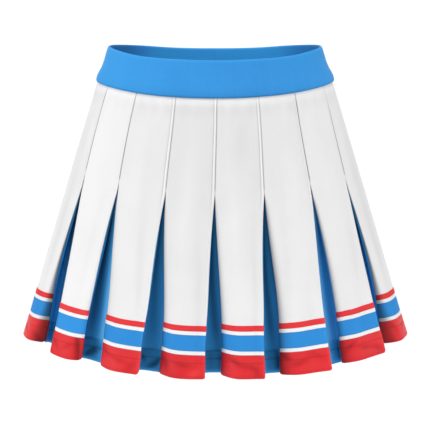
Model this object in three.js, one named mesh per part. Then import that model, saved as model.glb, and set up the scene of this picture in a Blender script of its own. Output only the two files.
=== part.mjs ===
// A box-pleated cheerleading skirt, filled out as if worn, in millimetres with +Z up.
//
// +X is the wearer's left, which is on the right when the front is looked at, and the front faces -Y.
// The origin is in the middle of the waist, half way down the waistband.
// Sixteen white pleat faces stand edge to edge round the waist. Behind each seam lies a blue inset,
// pressed flat where the pleat is stitched and open below that. A red hem band ends each face.

import * as THREE from 'three';

// Sizes of the whole skirt.
const PLEATS = 16;
const CLOTH_LENGTH = 297;          // from the waistband's lower edge to the hem, along the cloth
const CLOTH_DROP = 283.8;          // how far that length falls at the side, where it flares most
const BAND_EDGE_Z = -17.6;         // the waistband's lower edge at the side
const RIM_Z = 20.8;                // the rim at the side
const SAG_AT_BAND = 10.3;          // how much lower the front and back are than the sides
const SAG_GAIN = 12.2;             // and how much that grows down to the hem
const SAG_POWER = 2.3;             // above 2 the front's lowest line runs flatter in the middle

// The skirt's plan is an ellipse: half its width and half its depth at three levels.
const PLAN = [
  { level: 'band edge', along: 0, halfWidth: 129.2, halfDepth: 92.3 },
  { level: 'stitches end', along: 103, halfWidth: 159.6, halfDepth: 100.5 },
  { level: 'hem', along: 297, halfWidth: 215.8, halfDepth: 124 },
];

// Cloth and its gaps.
const FACE_WALL = 1.4;
const INSET_WALL = 1.2;
const HEM_WALL = 2.2;              // folded double
const SEAM_GAP = 0.3;
const TUCK = 5.5;                  // cloth that goes up between the waistband's two lower edges
const HEM_BAND = 25.4;             // depth of the red hem band
const HEM_OVERHANG = 0.6;          // the hem band is this much wider than its face, each side
const PLEAT_UNDER = 15.5;          // how far the stitched pleat reaches behind each face
const INSET_BELLY = 4.5;           // how far the open inset spreads behind the faces
const ROLL_REACH = 0.5;            // share of a face's width over which its edge rolls back
const FOLD_ROUNDNESS = 0.85;       // under 1 an open inset is U-shaped, at 1 it is a half ellipse

// The pleat faces at the hem, from the centre front round past the wearer's left side.
// Gaps lie between a face's edge and its seam's line, rolls are how far the edge falls back.
const FACES = [
  { leftGap: 6.8, rightGap: 14.9, leftRoll: 20, rightRoll: -2 },
  { leftGap: 5.8, rightGap: 10.2, leftRoll: 12, rightRoll: -5 },
  { leftGap: 10.6, rightGap: 5.8, leftRoll: 7, rightRoll: -3 },
  { leftGap: 15.0, rightGap: 6.0, leftRoll: 14, rightRoll: -1 },
  { leftGap: 13.0, rightGap: 12.0, leftRoll: 11, rightRoll: 9 },
  { leftGap: 8.0, rightGap: 12.0, leftRoll: 10, rightRoll: -2 },
  { leftGap: 6.5, rightGap: 14.0, leftRoll: 15, rightRoll: 1 },
  { leftGap: 9.0, rightGap: 10.0, leftRoll: 6, rightRoll: -4 },
  { leftGap: 7.0, rightGap: 13.0, leftRoll: 13, rightRoll: 3 },
  { leftGap: 10.0, rightGap: 9.0, leftRoll: 5, rightRoll: -3 },
  { leftGap: 6.0, rightGap: 15.0, leftRoll: 12, rightRoll: 6 },
  { leftGap: 11.0, rightGap: 13.0, leftRoll: 8, rightRoll: 11 },
  { leftGap: 6.0, rightGap: 17.0, leftRoll: 0, rightRoll: 12 },
  { leftGap: 9.5, rightGap: 19.5, leftRoll: 2, rightRoll: 8 },
  { leftGap: 5.3, rightGap: 15.0, leftRoll: 11, rightRoll: 1 },
  { leftGap: 5.0, rightGap: 11.0, leftRoll: 17, rightRoll: 2 },
];

// The seams, from the centre front round the same way. Stitched is the seam's length, fold is how deep
// the inset lies behind its edges at the hem, lean is how far its deepest line leans to +share, and
// short is how far above the faces' hem the inset ends.
const SEAMS = [
  { stitched: 100.6, fold: 15, lean: 0, short: 3 },
  { stitched: 100.8, fold: 17, lean: 2, short: 1 },
  { stitched: 102.7, fold: 17, lean: 6, short: 1 },
  { stitched: 106.0, fold: 14, lean: 6, short: 1.5 },
  { stitched: 104.0, fold: 15, lean: 3, short: 2 },
  { stitched: 102.0, fold: 18, lean: 5, short: 2.5 },
  { stitched: 101.0, fold: 16, lean: -3, short: 1.5 },
  { stitched: 102.0, fold: 18, lean: 4, short: 2 },
  { stitched: 100.0, fold: 16, lean: -2, short: 3 },
  { stitched: 101.0, fold: 17, lean: -5, short: 1.5 },
  { stitched: 102.5, fold: 15, lean: 3, short: 2.5 },
  { stitched: 103.0, fold: 17, lean: -4, short: 1.5 },
  { stitched: 105.0, fold: 15, lean: -3, short: 2 },
  { stitched: 106.0, fold: 14, lean: -6, short: 1.5 },
  { stitched: 102.1, fold: 16, lean: -7, short: 1 },
  { stitched: 101.4, fold: 16, lean: -4, short: 1.5 },
];

// How far each seam wanders along the ring from its even place, in the same order: at the band, half way
// down its stitches, at their foot and half way down the opening. At the hem it is back in its place.
const WANDER_LEVELS = [0, 50, 115, 196, CLOTH_LENGTH];
const WANDERS = [
  { atBand: 1.9, upper: 1.1, foot: -0.3, lower: 0.6 },
  { atBand: 2.4, upper: 2.4, foot: 0.8, lower: 2.0 },
  { atBand: 1.6, upper: 1.7, foot: 3.2, lower: 2.8 },
  { atBand: 3.0, upper: 2.3, foot: 1.6, lower: 1.5 },
  { atBand: 1.0, upper: 0.8, foot: 0, lower: -0.5 },
  { atBand: -1.5, upper: -2.0, foot: -1.0, lower: 0 },
  { atBand: 0, upper: 1.5, foot: 2.5, lower: 1.0 },
  { atBand: 1.0, upper: 0.5, foot: -1.0, lower: -1.5 },
  { atBand: -1.0, upper: -1.5, foot: -0.5, lower: 0.5 },
  { atBand: 1.5, upper: 1.0, foot: 2.0, lower: 1.0 },
  { atBand: 0, upper: -2.0, foot: -3.0, lower: -1.0 },
  { atBand: -1.0, upper: -1.0, foot: 0.5, lower: 1.0 },
  { atBand: 0, upper: -1.0, foot: -0.5, lower: 0 },
  { atBand: -1.5, upper: -3.2, foot: -2.2, lower: -1.1 },
  { atBand: 0.3, upper: -3.2, foot: -4.0, lower: -0.9 },
  { atBand: 2.0, upper: 0.5, foot: -1.4, lower: 0.8 },
];

// The waistband's section. Drop is below the rim, and each row is the size of its outer ring there.
// From the fork down the ring lies just outside the cloth that it holds.
const BAND_WALL = 2.4;
const BAND_LAYER = 1.2;
const LIP_CLEARANCE = 0.5;         // between the outer layer and the cloth
const FACING_CLEARANCE = 1.3;      // between the cloth and the inner layer
const LIP_ROUND = 0.6;             // takes the corners off the rim and the lower edges
const RIM_SAG = 8.5;
const BAND_STATIONS = 64;
const BAND_OUTER = [
  { drop: 0.8, halfWidth: 117.3, halfDepth: 85.6 },
  { drop: 8.6, halfWidth: 119.8, halfDepth: 87.5 },
  { drop: 16.2, halfWidth: 122, halfDepth: 89.5 },
  { drop: 23.6, halfWidth: 124.9, halfDepth: 91.6 },
  { drop: 28.8, halfWidth: 128, halfDepth: 93.2 },
  { drop: 31.8, halfWidth: 129.6, halfDepth: 93.8 },
  { drop: 37.2, halfWidth: 131.2, halfDepth: 94.1 },
];
const BAND_LOWER = 38.4;           // drop of the waistband's lower edge
const FORK_START = 26.8;           // drop where its two layers part over the skirt's top edge
const FORK_FULL = 31.8;            // drop from which they lie on both sides of the whole stack

// Rows of points along the cloth and columns across it.
const FACE_ROWS = [-TUCK, 50, 103, 122, 150, 185, 225, CLOTH_LENGTH - HEM_BAND - SEAM_GAP / 2];
const HEM_ROWS = [CLOTH_LENGTH - HEM_BAND + SEAM_GAP / 2, 284, CLOTH_LENGTH];
const INSET_ROWS = [-TUCK, 50, 103, 122, 150, 185, 225, CLOTH_LENGTH - HEM_BAND];
const FACE_COLUMNS = [0, 0.1, 0.25, 0.42, 0.58, 0.75, 0.9, 1];
const HEM_SEAT_START = 225;        // from here the inset moves back to clear the thicker hem band
const EDGE_STEP = 0.03;            // share of a face over which its edge's direction is taken
const MITRE_LIMIT = 0.5;           // keeps a sharp fold's outer corner short

// The stitched pleat's section, from one face's edge to the next: across is a share of PLEAT_UNDER,
// layer 0 is the return behind the face and layer 1 the underlay behind that.
const PRESSED = [
  { across: 0, layer: 0, open: 0 },
  { across: -0.5, layer: 0, open: 0.12 },
  { across: -1, layer: 0, open: 0.24 },
  { across: -1, layer: 1, open: 0.28 },
  { across: -0.5, layer: 1, open: 0.39 },
  { across: 0, layer: 1, open: 0.5 },
  { across: 0.5, layer: 1, open: 0.61 },
  { across: 1, layer: 1, open: 0.72 },
  { across: 1, layer: 0, open: 0.76 },
  { across: 0.5, layer: 0, open: 0.88 },
  { across: 0, layer: 0, open: 1 },
];

const COLOURS = { band: 0x4299e4, white: 0xf0f0f2, blue: 0x2a78bd, red: 0xdd3a3e };

const clamp = THREE.MathUtils.clamp;
const lerp = THREE.MathUtils.lerp;

// Value at a place of the smoothest curve through a value at each of a few levels.
function curveThrough(levels, values, place) {
  return values.reduce((sum, value, i) => {
    const others = levels.filter((level, j) => j !== i);
    const share = others.reduce((product, level) => (product * (place - level)) / (levels[i] - level), 1);
    return sum + value * share;
  }, 0);
}

// Half the plan's width or depth at a place along the cloth.
function planSize(column, along) {
  return curveThrough(PLAN.map((row) => row.along), PLAN.map((row) => row[column]), along);
}

// How far a seam has wandered at a place along the cloth.
function wander(seam, along) {
  const { atBand, upper, foot, lower } = WANDERS[seam % PLEATS];
  return curveThrough(WANDER_LEVELS, [atBand, upper, foot, lower, 0], along);
}

// An ellipse measured along its own edge: share 0 is the centre front, 0.25 the side at +X.
function ellipse(halfWidth, halfDepth) {
  const steps = 1440;
  const lengths = [0];
  for (let i = 1; i <= steps; i += 1) {
    const middle = ((i - 0.5) / steps) * 2 * Math.PI;
    const speed = Math.hypot(halfWidth * Math.cos(middle), halfDepth * Math.sin(middle));
    lengths.push(lengths[i - 1] + (speed * 2 * Math.PI) / steps);
  }
  const perimeter = lengths[steps];
  function at(share) {
    const wanted = (share - Math.floor(share)) * perimeter;
    let low = 0;
    let high = steps;
    while (high - low > 1) {
      const middle = (low + high) >> 1;
      if (lengths[middle] <= wanted) low = middle;
      else high = middle;
    }
    const part = (wanted - lengths[low]) / (lengths[high] - lengths[low]);
    const angle = ((low + part) / steps) * 2 * Math.PI;
    const x = halfWidth * Math.sin(angle);
    const y = -halfDepth * Math.cos(angle);
    const normal = new THREE.Vector2(x / halfWidth ** 2, y / halfDepth ** 2).normalize();
    return { x, y, normal, sag: 1 - Math.abs(x / halfWidth) ** SAG_POWER };
  }
  return { perimeter, at };
}

// How steeply the cloth flares outwards at the front and at the side, as a share of its drop.
const FLARE_FRONT = (PLAN[2].halfDepth - PLAN[0].halfDepth) / CLOTH_DROP;
const FLARE_SIDE = (PLAN[2].halfWidth - PLAN[0].halfWidth) / CLOTH_DROP;

// The cloth's outer ring at a place along the cloth, with a way to put a point on it.
// A fold that lies inside the ring flares less, so it hangs lower by its depth times the flare.
function clothRing(along) {
  const plan = ellipse(planSize('halfWidth', along), planSize('halfDepth', along));
  const t = along / CLOTH_LENGTH;
  function put(seam, { x: across, y: depth, z: fold }) {
    const p = plan.at(seam / PLEATS + across / plan.perimeter);
    const sag = (SAG_AT_BAND + SAG_GAIN * t) * p.sag;
    const fall = fold * lerp(FLARE_SIDE, FLARE_FRONT, p.sag);
    const z = BAND_EDGE_Z - t * CLOTH_DROP - sag - fall;
    return new THREE.Vector3(p.x + p.normal.x * depth, p.y + p.normal.y * depth, z);
  }
  return { along, pitch: plan.perimeter / PLEATS, put };
}

// How far a seam's pleat has opened at a place along the cloth, from 0 where it is stitched to 1 at the hem.
function opened(seam, along) {
  const { stitched } = SEAMS[seam % PLEATS];
  return clamp((along - stitched) / (CLOTH_LENGTH - stitched), 0, 1);
}

// Centre line of a pleat face across one row, measured from its left seam: x along the ring, y outwards,
// and z the depth of a fold that hangs lower, which a face has none of.
function facePath(index, ring, columns, overhang) {
  const face = FACES[index];
  const left = opened(index, ring.along);
  const right = opened(index + 1, ring.along);
  const leftGap = Math.max(SEAM_GAP / 2, face.leftGap * Math.sin((left * Math.PI) / 2));
  const rightGap = Math.max(SEAM_GAP / 2, face.rightGap * Math.sin((right * Math.PI) / 2));
  const from = wander(index, ring.along) + leftGap - overhang;
  const to = ring.pitch + wander(index + 1, ring.along) - rightGap + overhang;
  return columns.map((u) => {
    const leftRoll = face.leftRoll * left ** 2 * Math.max(0, 1 - u / ROLL_REACH) ** 2;
    const rightRoll = face.rightRoll * right ** 2 * Math.max(0, 1 - (1 - u) / ROLL_REACH) ** 2;
    return new THREE.Vector3(lerp(from, to, u), -FACE_WALL / 2 - leftRoll - rightRoll, 0);
  });
}

// Moves a line of points sideways by a distance, with its corners kept sharp. Left of its way is positive.
function offsetPath(path, distance) {
  return path.map((point, i) => {
    const before = path[Math.max(i - 1, 0)];
    const after = path[Math.min(i + 1, path.length - 1)];
    const incoming = (i > 0 ? point.clone().sub(before) : after.clone().sub(point)).normalize();
    const outgoing = (i < path.length - 1 ? after.clone().sub(point) : incoming.clone()).normalize();
    const a = new THREE.Vector3(-incoming.y, incoming.x, 0).normalize();
    const b = new THREE.Vector3(-outgoing.y, outgoing.x, 0).normalize();
    const mean = a.clone().add(b).normalize();
    return point.clone().addScaledVector(mean, distance / Math.max(mean.dot(a), MITRE_LIMIT));
  });
}

// Where an inset's end lies: behind the edge of the face next to it, clear by the seam's gap.
function insetEnd(edge, inner, towardsInside, seat, open) {
  const along = inner.clone().sub(edge).normalize();
  const back = new THREE.Vector3(along.y * towardsInside, -along.x * towardsInside, 0);
  const behind = FACE_WALL / 2 + SEAM_GAP + (1 - open / 2) * (INSET_WALL / 2) + seat;
  return edge.clone().addScaledVector(back, behind).addScaledVector(along, INSET_WALL / 2);
}

// Centre line of an inset across one row, measured from its seam.
function insetPath(index, ring) {
  const seam = SEAMS[index];
  const previous = (index + PLEATS - 1) % PLEATS;
  const t = opened(index, ring.along);
  const open = t * (2 - t);
  const seatShare = (ring.along - HEM_SEAT_START) / (CLOTH_LENGTH - HEM_BAND - HEM_SEAT_START);
  const seat = clamp(seatShare, 0, 1) * ((HEM_WALL - FACE_WALL) / 2);
  const ends = [0, EDGE_STEP];
  const rightFace = facePath(index, ring, ends, 0);
  const leftFace = facePath(previous, ring, ends.map((u) => 1 - u), 0);
  leftFace.forEach((p) => { p.x -= ring.pitch; });
  const start = insetEnd(leftFace[0], leftFace[1], -1, seat, open);
  const end = insetEnd(rightFace[0], rightFace[1], 1, seat, open);
  const firstLayer = -(FACE_WALL + SEAM_GAP + INSET_WALL / 2);
  const layerStep = -(INSET_WALL + SEAM_GAP);
  const middle = wander(index, ring.along);
  return PRESSED.map((row) => {
    if (row.open === 0) return start;
    if (row.open === 1) return end;
    const angle = row.open * Math.PI;
    const across = middle + row.across * PLEAT_UNDER;
    const pressed = new THREE.Vector3(across, firstLayer + layerStep * row.layer, 0);
    const between = start.clone().lerp(end, (1 - Math.cos(angle)) / 2);
    const fold = seam.fold * Math.sin(angle) ** FOLD_ROUNDNESS;
    between.x += seam.lean * Math.sin(angle) - INSET_BELLY * Math.sin(2 * angle);
    between.y -= fold;
    between.z = fold;
    return pressed.lerp(between, open);
  });
}

// A closed wall: rows from top to bottom, each a closed loop of points, with the ends capped.
// In each loop the outer points run one way and the inner points run back.
function wallGeometry(loops, capped) {
  const positions = [];
  const size = loops[0].length;
  const triangle = (p, q, r) => [p, q, r].forEach((v) => positions.push(v.x, v.y, v.z));
  const quad = (p, q, r, s) => {
    triangle(p, q, r);
    triangle(p, r, s);
  };
  const rows = capped ? loops.length - 1 : loops.length;
  for (let r = 0; r < rows; r += 1) {
    const upper = loops[r];
    const lower = loops[(r + 1) % loops.length];
    for (let j = 0; j < size; j += 1) {
      const k = (j + 1) % size;
      quad(upper[j], lower[j], lower[k], upper[k]);
    }
  }
  if (capped) {
    const top = loops[0];
    const bottom = loops[loops.length - 1];
    for (let i = 0; i < size / 2 - 1; i += 1) {
      quad(top[i], top[i + 1], top[size - 2 - i], top[size - 1 - i]);
      quad(bottom[i + 1], bottom[i], bottom[size - 1 - i], bottom[size - 2 - i]);
    }
  }
  const geometry = new THREE.BufferGeometry();
  geometry.setAttribute('position', new THREE.Float32BufferAttribute(positions, 3));
  geometry.computeVertexNormals();
  return geometry;
}

// A cloth strip: its centre line at each row, given a wall and set on the ring at its seam.
function strip(seam, rows, wall, pathAt) {
  const loops = rows.map((along) => {
    const ring = clothRing(along);
    const path = pathAt(ring);
    const outer = offsetPath(path, wall / 2);
    const inner = offsetPath(path, -wall / 2).reverse();
    return [...outer, ...inner].map((p) => ring.put(seam, p));
  });
  return wallGeometry(loops, true);
}

// The waistband's outer ring at a drop below the rim, with a way to put a point inside it.
function bandRing(drop) {
  const last = BAND_OUTER.length - 1;
  let i = 0;
  while (i < last - 1 && drop > BAND_OUTER[i + 1].drop) i += 1;
  const [a, b] = [BAND_OUTER[i], BAND_OUTER[i + 1]];
  const part = clamp((drop - a.drop) / (b.drop - a.drop), 0, 1);
  const plan = ellipse(lerp(a.halfWidth, b.halfWidth, part), lerp(a.halfDepth, b.halfDepth, part));
  const sagHere = lerp(RIM_SAG, SAG_AT_BAND, drop / BAND_LOWER);
  return (share, inset) => {
    const p = plan.at(share);
    const z = RIM_Z - drop - sagHere * p.sag;
    return new THREE.Vector3(p.x - p.normal.x * inset, p.y - p.normal.y * inset, z);
  };
}

// The waistband's section: down its outer side, up the slot that holds the skirt, down the inner layer
// and up the inner side to the rim. Each point is a drop and how far inside the outer ring it lies.
function bandSection() {
  const stack = FACE_WALL + 2 * INSET_WALL + 2 * SEAM_GAP + LIP_CLEARANCE + FACING_CLEARANCE;
  const innerLip = BAND_LAYER + stack;
  const innerSide = innerLip + BAND_LAYER;
  return [
    ...BAND_OUTER.map((row) => ({ drop: row.drop, inset: 0 })),
    { drop: BAND_LOWER, inset: LIP_ROUND },
    { drop: BAND_LOWER - LIP_ROUND, inset: BAND_LAYER },
    { drop: FORK_FULL, inset: BAND_LAYER },
    { drop: FORK_START + BAND_LAYER, inset: BAND_LAYER },
    { drop: FORK_FULL, inset: innerLip },
    { drop: BAND_LOWER - LIP_ROUND, inset: innerLip },
    { drop: BAND_LOWER, inset: innerLip + LIP_ROUND },
    { drop: BAND_LOWER - LIP_ROUND, inset: innerSide },
    { drop: FORK_FULL - BAND_LAYER / 2, inset: innerSide },
    { drop: FORK_START, inset: BAND_WALL },
    { drop: BAND_OUTER[2].drop, inset: BAND_WALL },
    { drop: BAND_OUTER[0].drop, inset: BAND_WALL },
    { drop: 0, inset: BAND_WALL - LIP_ROUND },
    { drop: 0, inset: LIP_ROUND },
  ];
}

function waistband() {
  const section = bandSection();
  const rings = section.map((point) => bandRing(point.drop));
  const loops = [];
  for (let j = 0; j < BAND_STATIONS; j += 1) {
    loops.push(section.map((point, i) => rings[i](j / BAND_STATIONS, point.inset)).reverse());
  }
  return wallGeometry(loops, false);
}

const materials = {
  band: new THREE.MeshStandardMaterial({ color: COLOURS.band, roughness: 0.85, metalness: 0 }),
  white: new THREE.MeshStandardMaterial({ color: COLOURS.white, roughness: 0.8, metalness: 0 }),
  blue: new THREE.MeshStandardMaterial({ color: COLOURS.blue, roughness: 0.8, metalness: 0 }),
  red: new THREE.MeshStandardMaterial({ color: COLOURS.red, roughness: 0.6, metalness: 0 }),
};

const skirt = new THREE.Group();

function add(name, geometry, material) {
  const mesh = new THREE.Mesh(geometry, material);
  mesh.name = name;
  skirt.add(mesh);
}

add('waistband', waistband(), materials.band);
for (let k = 0; k < PLEATS; k += 1) {
  const number = String(k + 1).padStart(2, '0');
  const face = strip(k, FACE_ROWS, FACE_WALL, (ring) => facePath(k, ring, FACE_COLUMNS, 0));
  const hem = strip(k, HEM_ROWS, HEM_WALL, (ring) => facePath(k, ring, FACE_COLUMNS, HEM_OVERHANG));
  const insetRows = [...INSET_ROWS, CLOTH_LENGTH - SEAMS[k].short];
  const inset = strip(k, insetRows, INSET_WALL, (ring) => insetPath(k, ring));
  add(`white_face_${number}`, face, materials.white);
  add(`hem_band_${number}`, hem, materials.red);
  add(`blue_inset_${number}`, inset, materials.blue);
}

export default skirt;
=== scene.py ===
# %% [markdown]
# # A box-pleated cheerleading skirt, dressed over its solids
#
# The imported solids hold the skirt's form and sizes. Here each of them is replaced by cloth of its true
# thickness, with rounded edges, soft creases, braid stripes, turned hems and stitches, and the whole is
# lit like a product photograph. Lengths are in millimetres until a mesh is made, which is in metres.

# %% Load the solids
import math

import bpy
import numpy as np
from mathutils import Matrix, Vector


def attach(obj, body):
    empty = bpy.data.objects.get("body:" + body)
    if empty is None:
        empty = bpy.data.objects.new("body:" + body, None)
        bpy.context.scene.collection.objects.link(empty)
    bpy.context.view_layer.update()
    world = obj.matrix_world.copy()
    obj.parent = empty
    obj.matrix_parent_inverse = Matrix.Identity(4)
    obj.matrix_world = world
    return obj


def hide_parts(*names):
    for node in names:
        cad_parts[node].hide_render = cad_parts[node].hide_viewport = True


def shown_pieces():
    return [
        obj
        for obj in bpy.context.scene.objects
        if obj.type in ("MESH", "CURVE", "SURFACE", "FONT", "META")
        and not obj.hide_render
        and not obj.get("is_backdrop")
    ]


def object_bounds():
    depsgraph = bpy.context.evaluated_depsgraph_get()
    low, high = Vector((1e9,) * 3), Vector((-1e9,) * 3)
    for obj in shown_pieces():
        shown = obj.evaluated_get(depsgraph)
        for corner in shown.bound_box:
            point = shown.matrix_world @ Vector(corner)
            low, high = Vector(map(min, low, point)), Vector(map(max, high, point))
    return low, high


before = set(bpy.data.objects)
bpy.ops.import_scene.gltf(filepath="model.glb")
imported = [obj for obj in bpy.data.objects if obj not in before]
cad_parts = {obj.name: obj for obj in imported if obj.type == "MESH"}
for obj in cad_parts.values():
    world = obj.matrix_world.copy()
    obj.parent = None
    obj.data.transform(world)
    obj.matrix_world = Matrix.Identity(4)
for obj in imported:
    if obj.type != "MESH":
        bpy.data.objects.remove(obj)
solid_box = [list(corner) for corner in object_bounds()]
MM = 0.001
PLEATS = 16
print("solids:", len(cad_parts), "box:", np.round(solid_box, 4).tolist())

# %% [markdown]
# ## Where a point of the skirt lies
#
# Every piece is cut from a flat strip, so its points are easiest to give as a place on the cloth: how far
# along it, from the waistband down, and how far across. The skirt's plan is an oval that grows downwards.
# A sculpted mesh could hold the same form, but a formula keeps the pleats the same size as the solids,
# and it can be read at any fineness, also for a stripe or a stitch that lies on top.

# %% Sizes of the whole skirt
CLOTH_LENGTH = 297.0        # from the waistband's lower edge to the hem, along the cloth
CLOTH_DROP = 283.8          # how far that length falls at the side
BAND_EDGE_Z = -17.6         # the waistband's lower edge at the side
RIM_Z = 20.8                # the rim at the side
SAG_AT_BAND = 10.3          # how much lower the front and the back are than the sides
SAG_GAIN = 12.2             # and how much that grows down to the hem
SAG_POWER = 2.3             # the higher it is, the closer to the sides the sag begins
HEM_BAND = 25.4             # depth of the red hem band
TUCK = 5.5                  # cloth that goes up between the waistband's two lower edges
SEAM_GAP = 0.3              # between two solids that are sewn together

PLAN_ALONG = [0.0, 103.0, 297.0]
PLAN_HALF_WIDTH = [129.2, 159.6, 215.8]
PLAN_HALF_DEPTH = [92.3, 100.5, 124.0]
cloth_half_width = np.poly1d(np.polyfit(PLAN_ALONG, PLAN_HALF_WIDTH, 2))
cloth_half_depth = np.poly1d(np.polyfit(PLAN_ALONG, PLAN_HALF_DEPTH, 2))
FLARE_FRONT = (PLAN_HALF_DEPTH[2] - PLAN_HALF_DEPTH[0]) / CLOTH_DROP
FLARE_SIDE = (PLAN_HALF_WIDTH[2] - PLAN_HALF_WIDTH[0]) / CLOTH_DROP
print("hem oval:", 2 * cloth_half_width(CLOTH_LENGTH), "by", 2 * cloth_half_depth(CLOTH_LENGTH), "mm")

# %% Ovals measured along their own edge
OVAL_STEPS = 1440


def ovals(levels, half_width, half_depth):
    """A stack of ovals, each measured along its own edge from the centre front round past +X.

    The length of an oval's edge up to an angle is summed in small steps. Read backwards, that table gives
    the angle for a share of the whole length, and between two levels the angle is mixed evenly.
    """
    angles = np.linspace(0, 2 * np.pi, OVAL_STEPS + 1)
    middles = (angles[1:] + angles[:-1]) / 2
    wide, deep = half_width(levels)[:, None], half_depth(levels)[:, None]
    steps = np.hypot(wide * np.cos(middles), deep * np.sin(middles)) * angles[1]
    lengths = np.hstack([np.zeros((len(levels), 1)), np.cumsum(steps, axis=1)])
    shares = np.linspace(0, 1, OVAL_STEPS + 1)
    table = np.array([np.interp(shares, row / row[-1], angles) for row in lengths])

    def length(level):
        """Length of the whole edge at a level."""
        return np.interp(level, levels, lengths[:, -1])

    def place(level, share):
        """x, y, the outward direction and the sag, 1 in the middle of the front and 0 at the side."""
        level, share = np.broadcast_arrays(np.asarray(level, float), share)
        row = np.clip((level - levels[0]) / (levels[1] - levels[0]), 0, len(levels) - 1.001)
        column = np.minimum((share % 1) * OVAL_STEPS, OVAL_STEPS - 1e-6)
        i, j = row.astype(int), column.astype(int)
        r, c = row - i, column - j
        upper = table[i, j] * (1 - c) + table[i, j + 1] * c
        lower = table[i + 1, j] * (1 - c) + table[i + 1, j + 1] * c
        angle = upper * (1 - r) + lower * r
        a, b = half_width(level), half_depth(level)
        x, y = a * np.sin(angle), -b * np.cos(angle)
        outward = np.stack([x / a ** 2, y / b ** 2], -1)
        outward /= np.linalg.norm(outward, axis=-1, keepdims=True)
        return x, y, outward, 1 - np.abs(x / a) ** SAG_POWER

    return place, length


cloth_place, cloth_round = ovals(np.linspace(-10, 300, 125), cloth_half_width, cloth_half_depth)
print("round the hem:", round(float(cloth_round(CLOTH_LENGTH))), "mm")

# %% Curves and tables that many formulas use
def bell(distance, reach, power=2):
    """1 where the distance is 0, about a third at the reach and soon 0 beyond it, to both sides."""
    return np.exp(-np.abs(distance / reach) ** power)


def bells(place, rows):
    """Sum of a table's bells. Each row says where its bell stands, its reach and its height."""
    return sum(height * bell(place - at, reach) for at, reach, height in rows)


def ramp(value, start, end):
    """0 up to the start, then evenly up to 1 at the end, and 1 beyond it."""
    return np.clip((value - start) / (end - start), 0, 1)


def soft_step(distance, softness):
    """From 0 up to 1 along a logistic curve, which is half way where the distance is 0."""
    return 1 / (1 + np.exp(-distance / softness))


def travelled_along(*places):
    """Distance travelled at each point of a line, which is given by its places along each axis."""
    steps = np.sqrt(sum(np.diff(place) ** 2 for place in places))
    return np.concatenate([[0], np.cumsum(steps)])


def named_rows(names, rows):
    """A table of numbers whose columns are read by their names."""
    return np.array(rows, dtype=[(name, float) for name in names.split()])


print("a bell half a reach away:", round(float(bell(0.5, 1)), 2))


# %% A point on the cloth
def cloth_point(seam, across, depth, fold, along):
    """Across is along the ring from a seam and depth is outwards from it. The cloth falls evenly along its
    length, and the front and back sag more than the sides. A fold inside the ring flares less, so it hangs
    lower by its depth times the flare."""
    x, y, outward, sag = cloth_place(along, seam / PLEATS + across / cloth_round(along))
    down = along / CLOTH_LENGTH
    fall = fold * (FLARE_SIDE + (FLARE_FRONT - FLARE_SIDE) * sag)
    z = BAND_EDGE_Z - down * CLOTH_DROP - (SAG_AT_BAND + SAG_GAIN * down) * sag - fall
    return np.stack([x + outward[..., 0] * depth, y + outward[..., 1] * depth, z], -1)


# %% [markdown]
# ## Sixteen pleats, no two alike
#
# Each pleat has a white face, and a blue inset lies behind each seam. Where the pleat is stitched the faces
# meet edge to edge, and below that each edge draws back from its seam's line and rolls inwards. The first
# three tables hold the solids' own numbers, but for one seam that stands further right at the band. The
# slits and pulls after them move the cloth by about 4 mm at most.

# %% The pleats' own sizes
# At the hem: how far a face's left and right edge have drawn back from the seams, and how deep each rolls.
FACES = named_rows("left_gap right_gap left_roll right_roll", [
    (6.8, 14.9, 20, -2), (5.8, 10.2, 12, -5), (10.6, 5.8, 7, -3), (15.0, 6.0, 14, -1),
    (13.0, 12.0, 11, 9), (8.0, 12.0, 10, -2), (6.5, 14.0, 15, 1), (9.0, 10.0, 6, -4),
    (7.0, 13.0, 13, 3), (10.0, 9.0, 5, -3), (6.0, 15.0, 12, 6), (11.0, 13.0, 8, 11),
    (6.0, 17.0, 0, 12), (9.5, 19.5, 2, 8), (5.3, 15.0, 11, 1), (5.0, 11.0, 17, 2),
])

# For each seam: the length that is stitched, and how deep the inset's valley is at the hem, how far it leans
# and how much shorter than the faces it is.
SEAMS = named_rows("stitched fold lean short", [
    (100.6, 15, 0, 3), (100.8, 17, 2, 1), (102.7, 17, 6, 1), (106.0, 14, 6, 1.5),
    (104.0, 15, 3, 2), (102.0, 18, 5, 2.5), (101.0, 16, -3, 1.5), (102.0, 18, 4, 2),
    (100.0, 16, -2, 3), (101.0, 17, -5, 1.5), (102.5, 15, 3, 2.5), (103.0, 17, -4, 1.5),
    (105.0, 15, -3, 2), (106.0, 14, -6, 1.5), (102.1, 16, -7, 1), (101.4, 16, -4, 1.5),
])

# How far each seam wanders along the ring: at the band, half way down its stitches, at their foot and
# half way down the opening. At the hem it is back in its even place.
WANDER_LEVELS = [0.0, 50.0, 115.0, 196.0, CLOTH_LENGTH]
WANDERS = [
    (1.9, 1.1, -0.3, 0.6), (2.4, 2.4, 0.8, 2.0), (1.6, 1.7, 3.2, 2.8), (3.0, 2.3, 1.6, 1.5),
    (1.0, 0.8, 0, -0.5), (-1.5, -2.0, -1.0, 0), (0, 1.5, 2.5, 1.0), (1.0, 0.5, -1.0, -1.5),
    (-1.0, -1.5, -0.5, 0.5), (1.5, 1.0, 2.0, 1.0), (0, -2.0, -3.0, -1.0), (-1.0, -1.0, 0.5, 1.0),
    (0, -1.0, -0.5, 0), (0.2, -2.6, -2.2, -1.1), (0.3, -3.2, -4.0, -0.9), (2.0, 0.5, -1.4, 0.8),
]
wander_curves = [np.poly1d(np.polyfit(WANDER_LEVELS, [*row, 0.0], 4)) for row in WANDERS]

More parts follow.
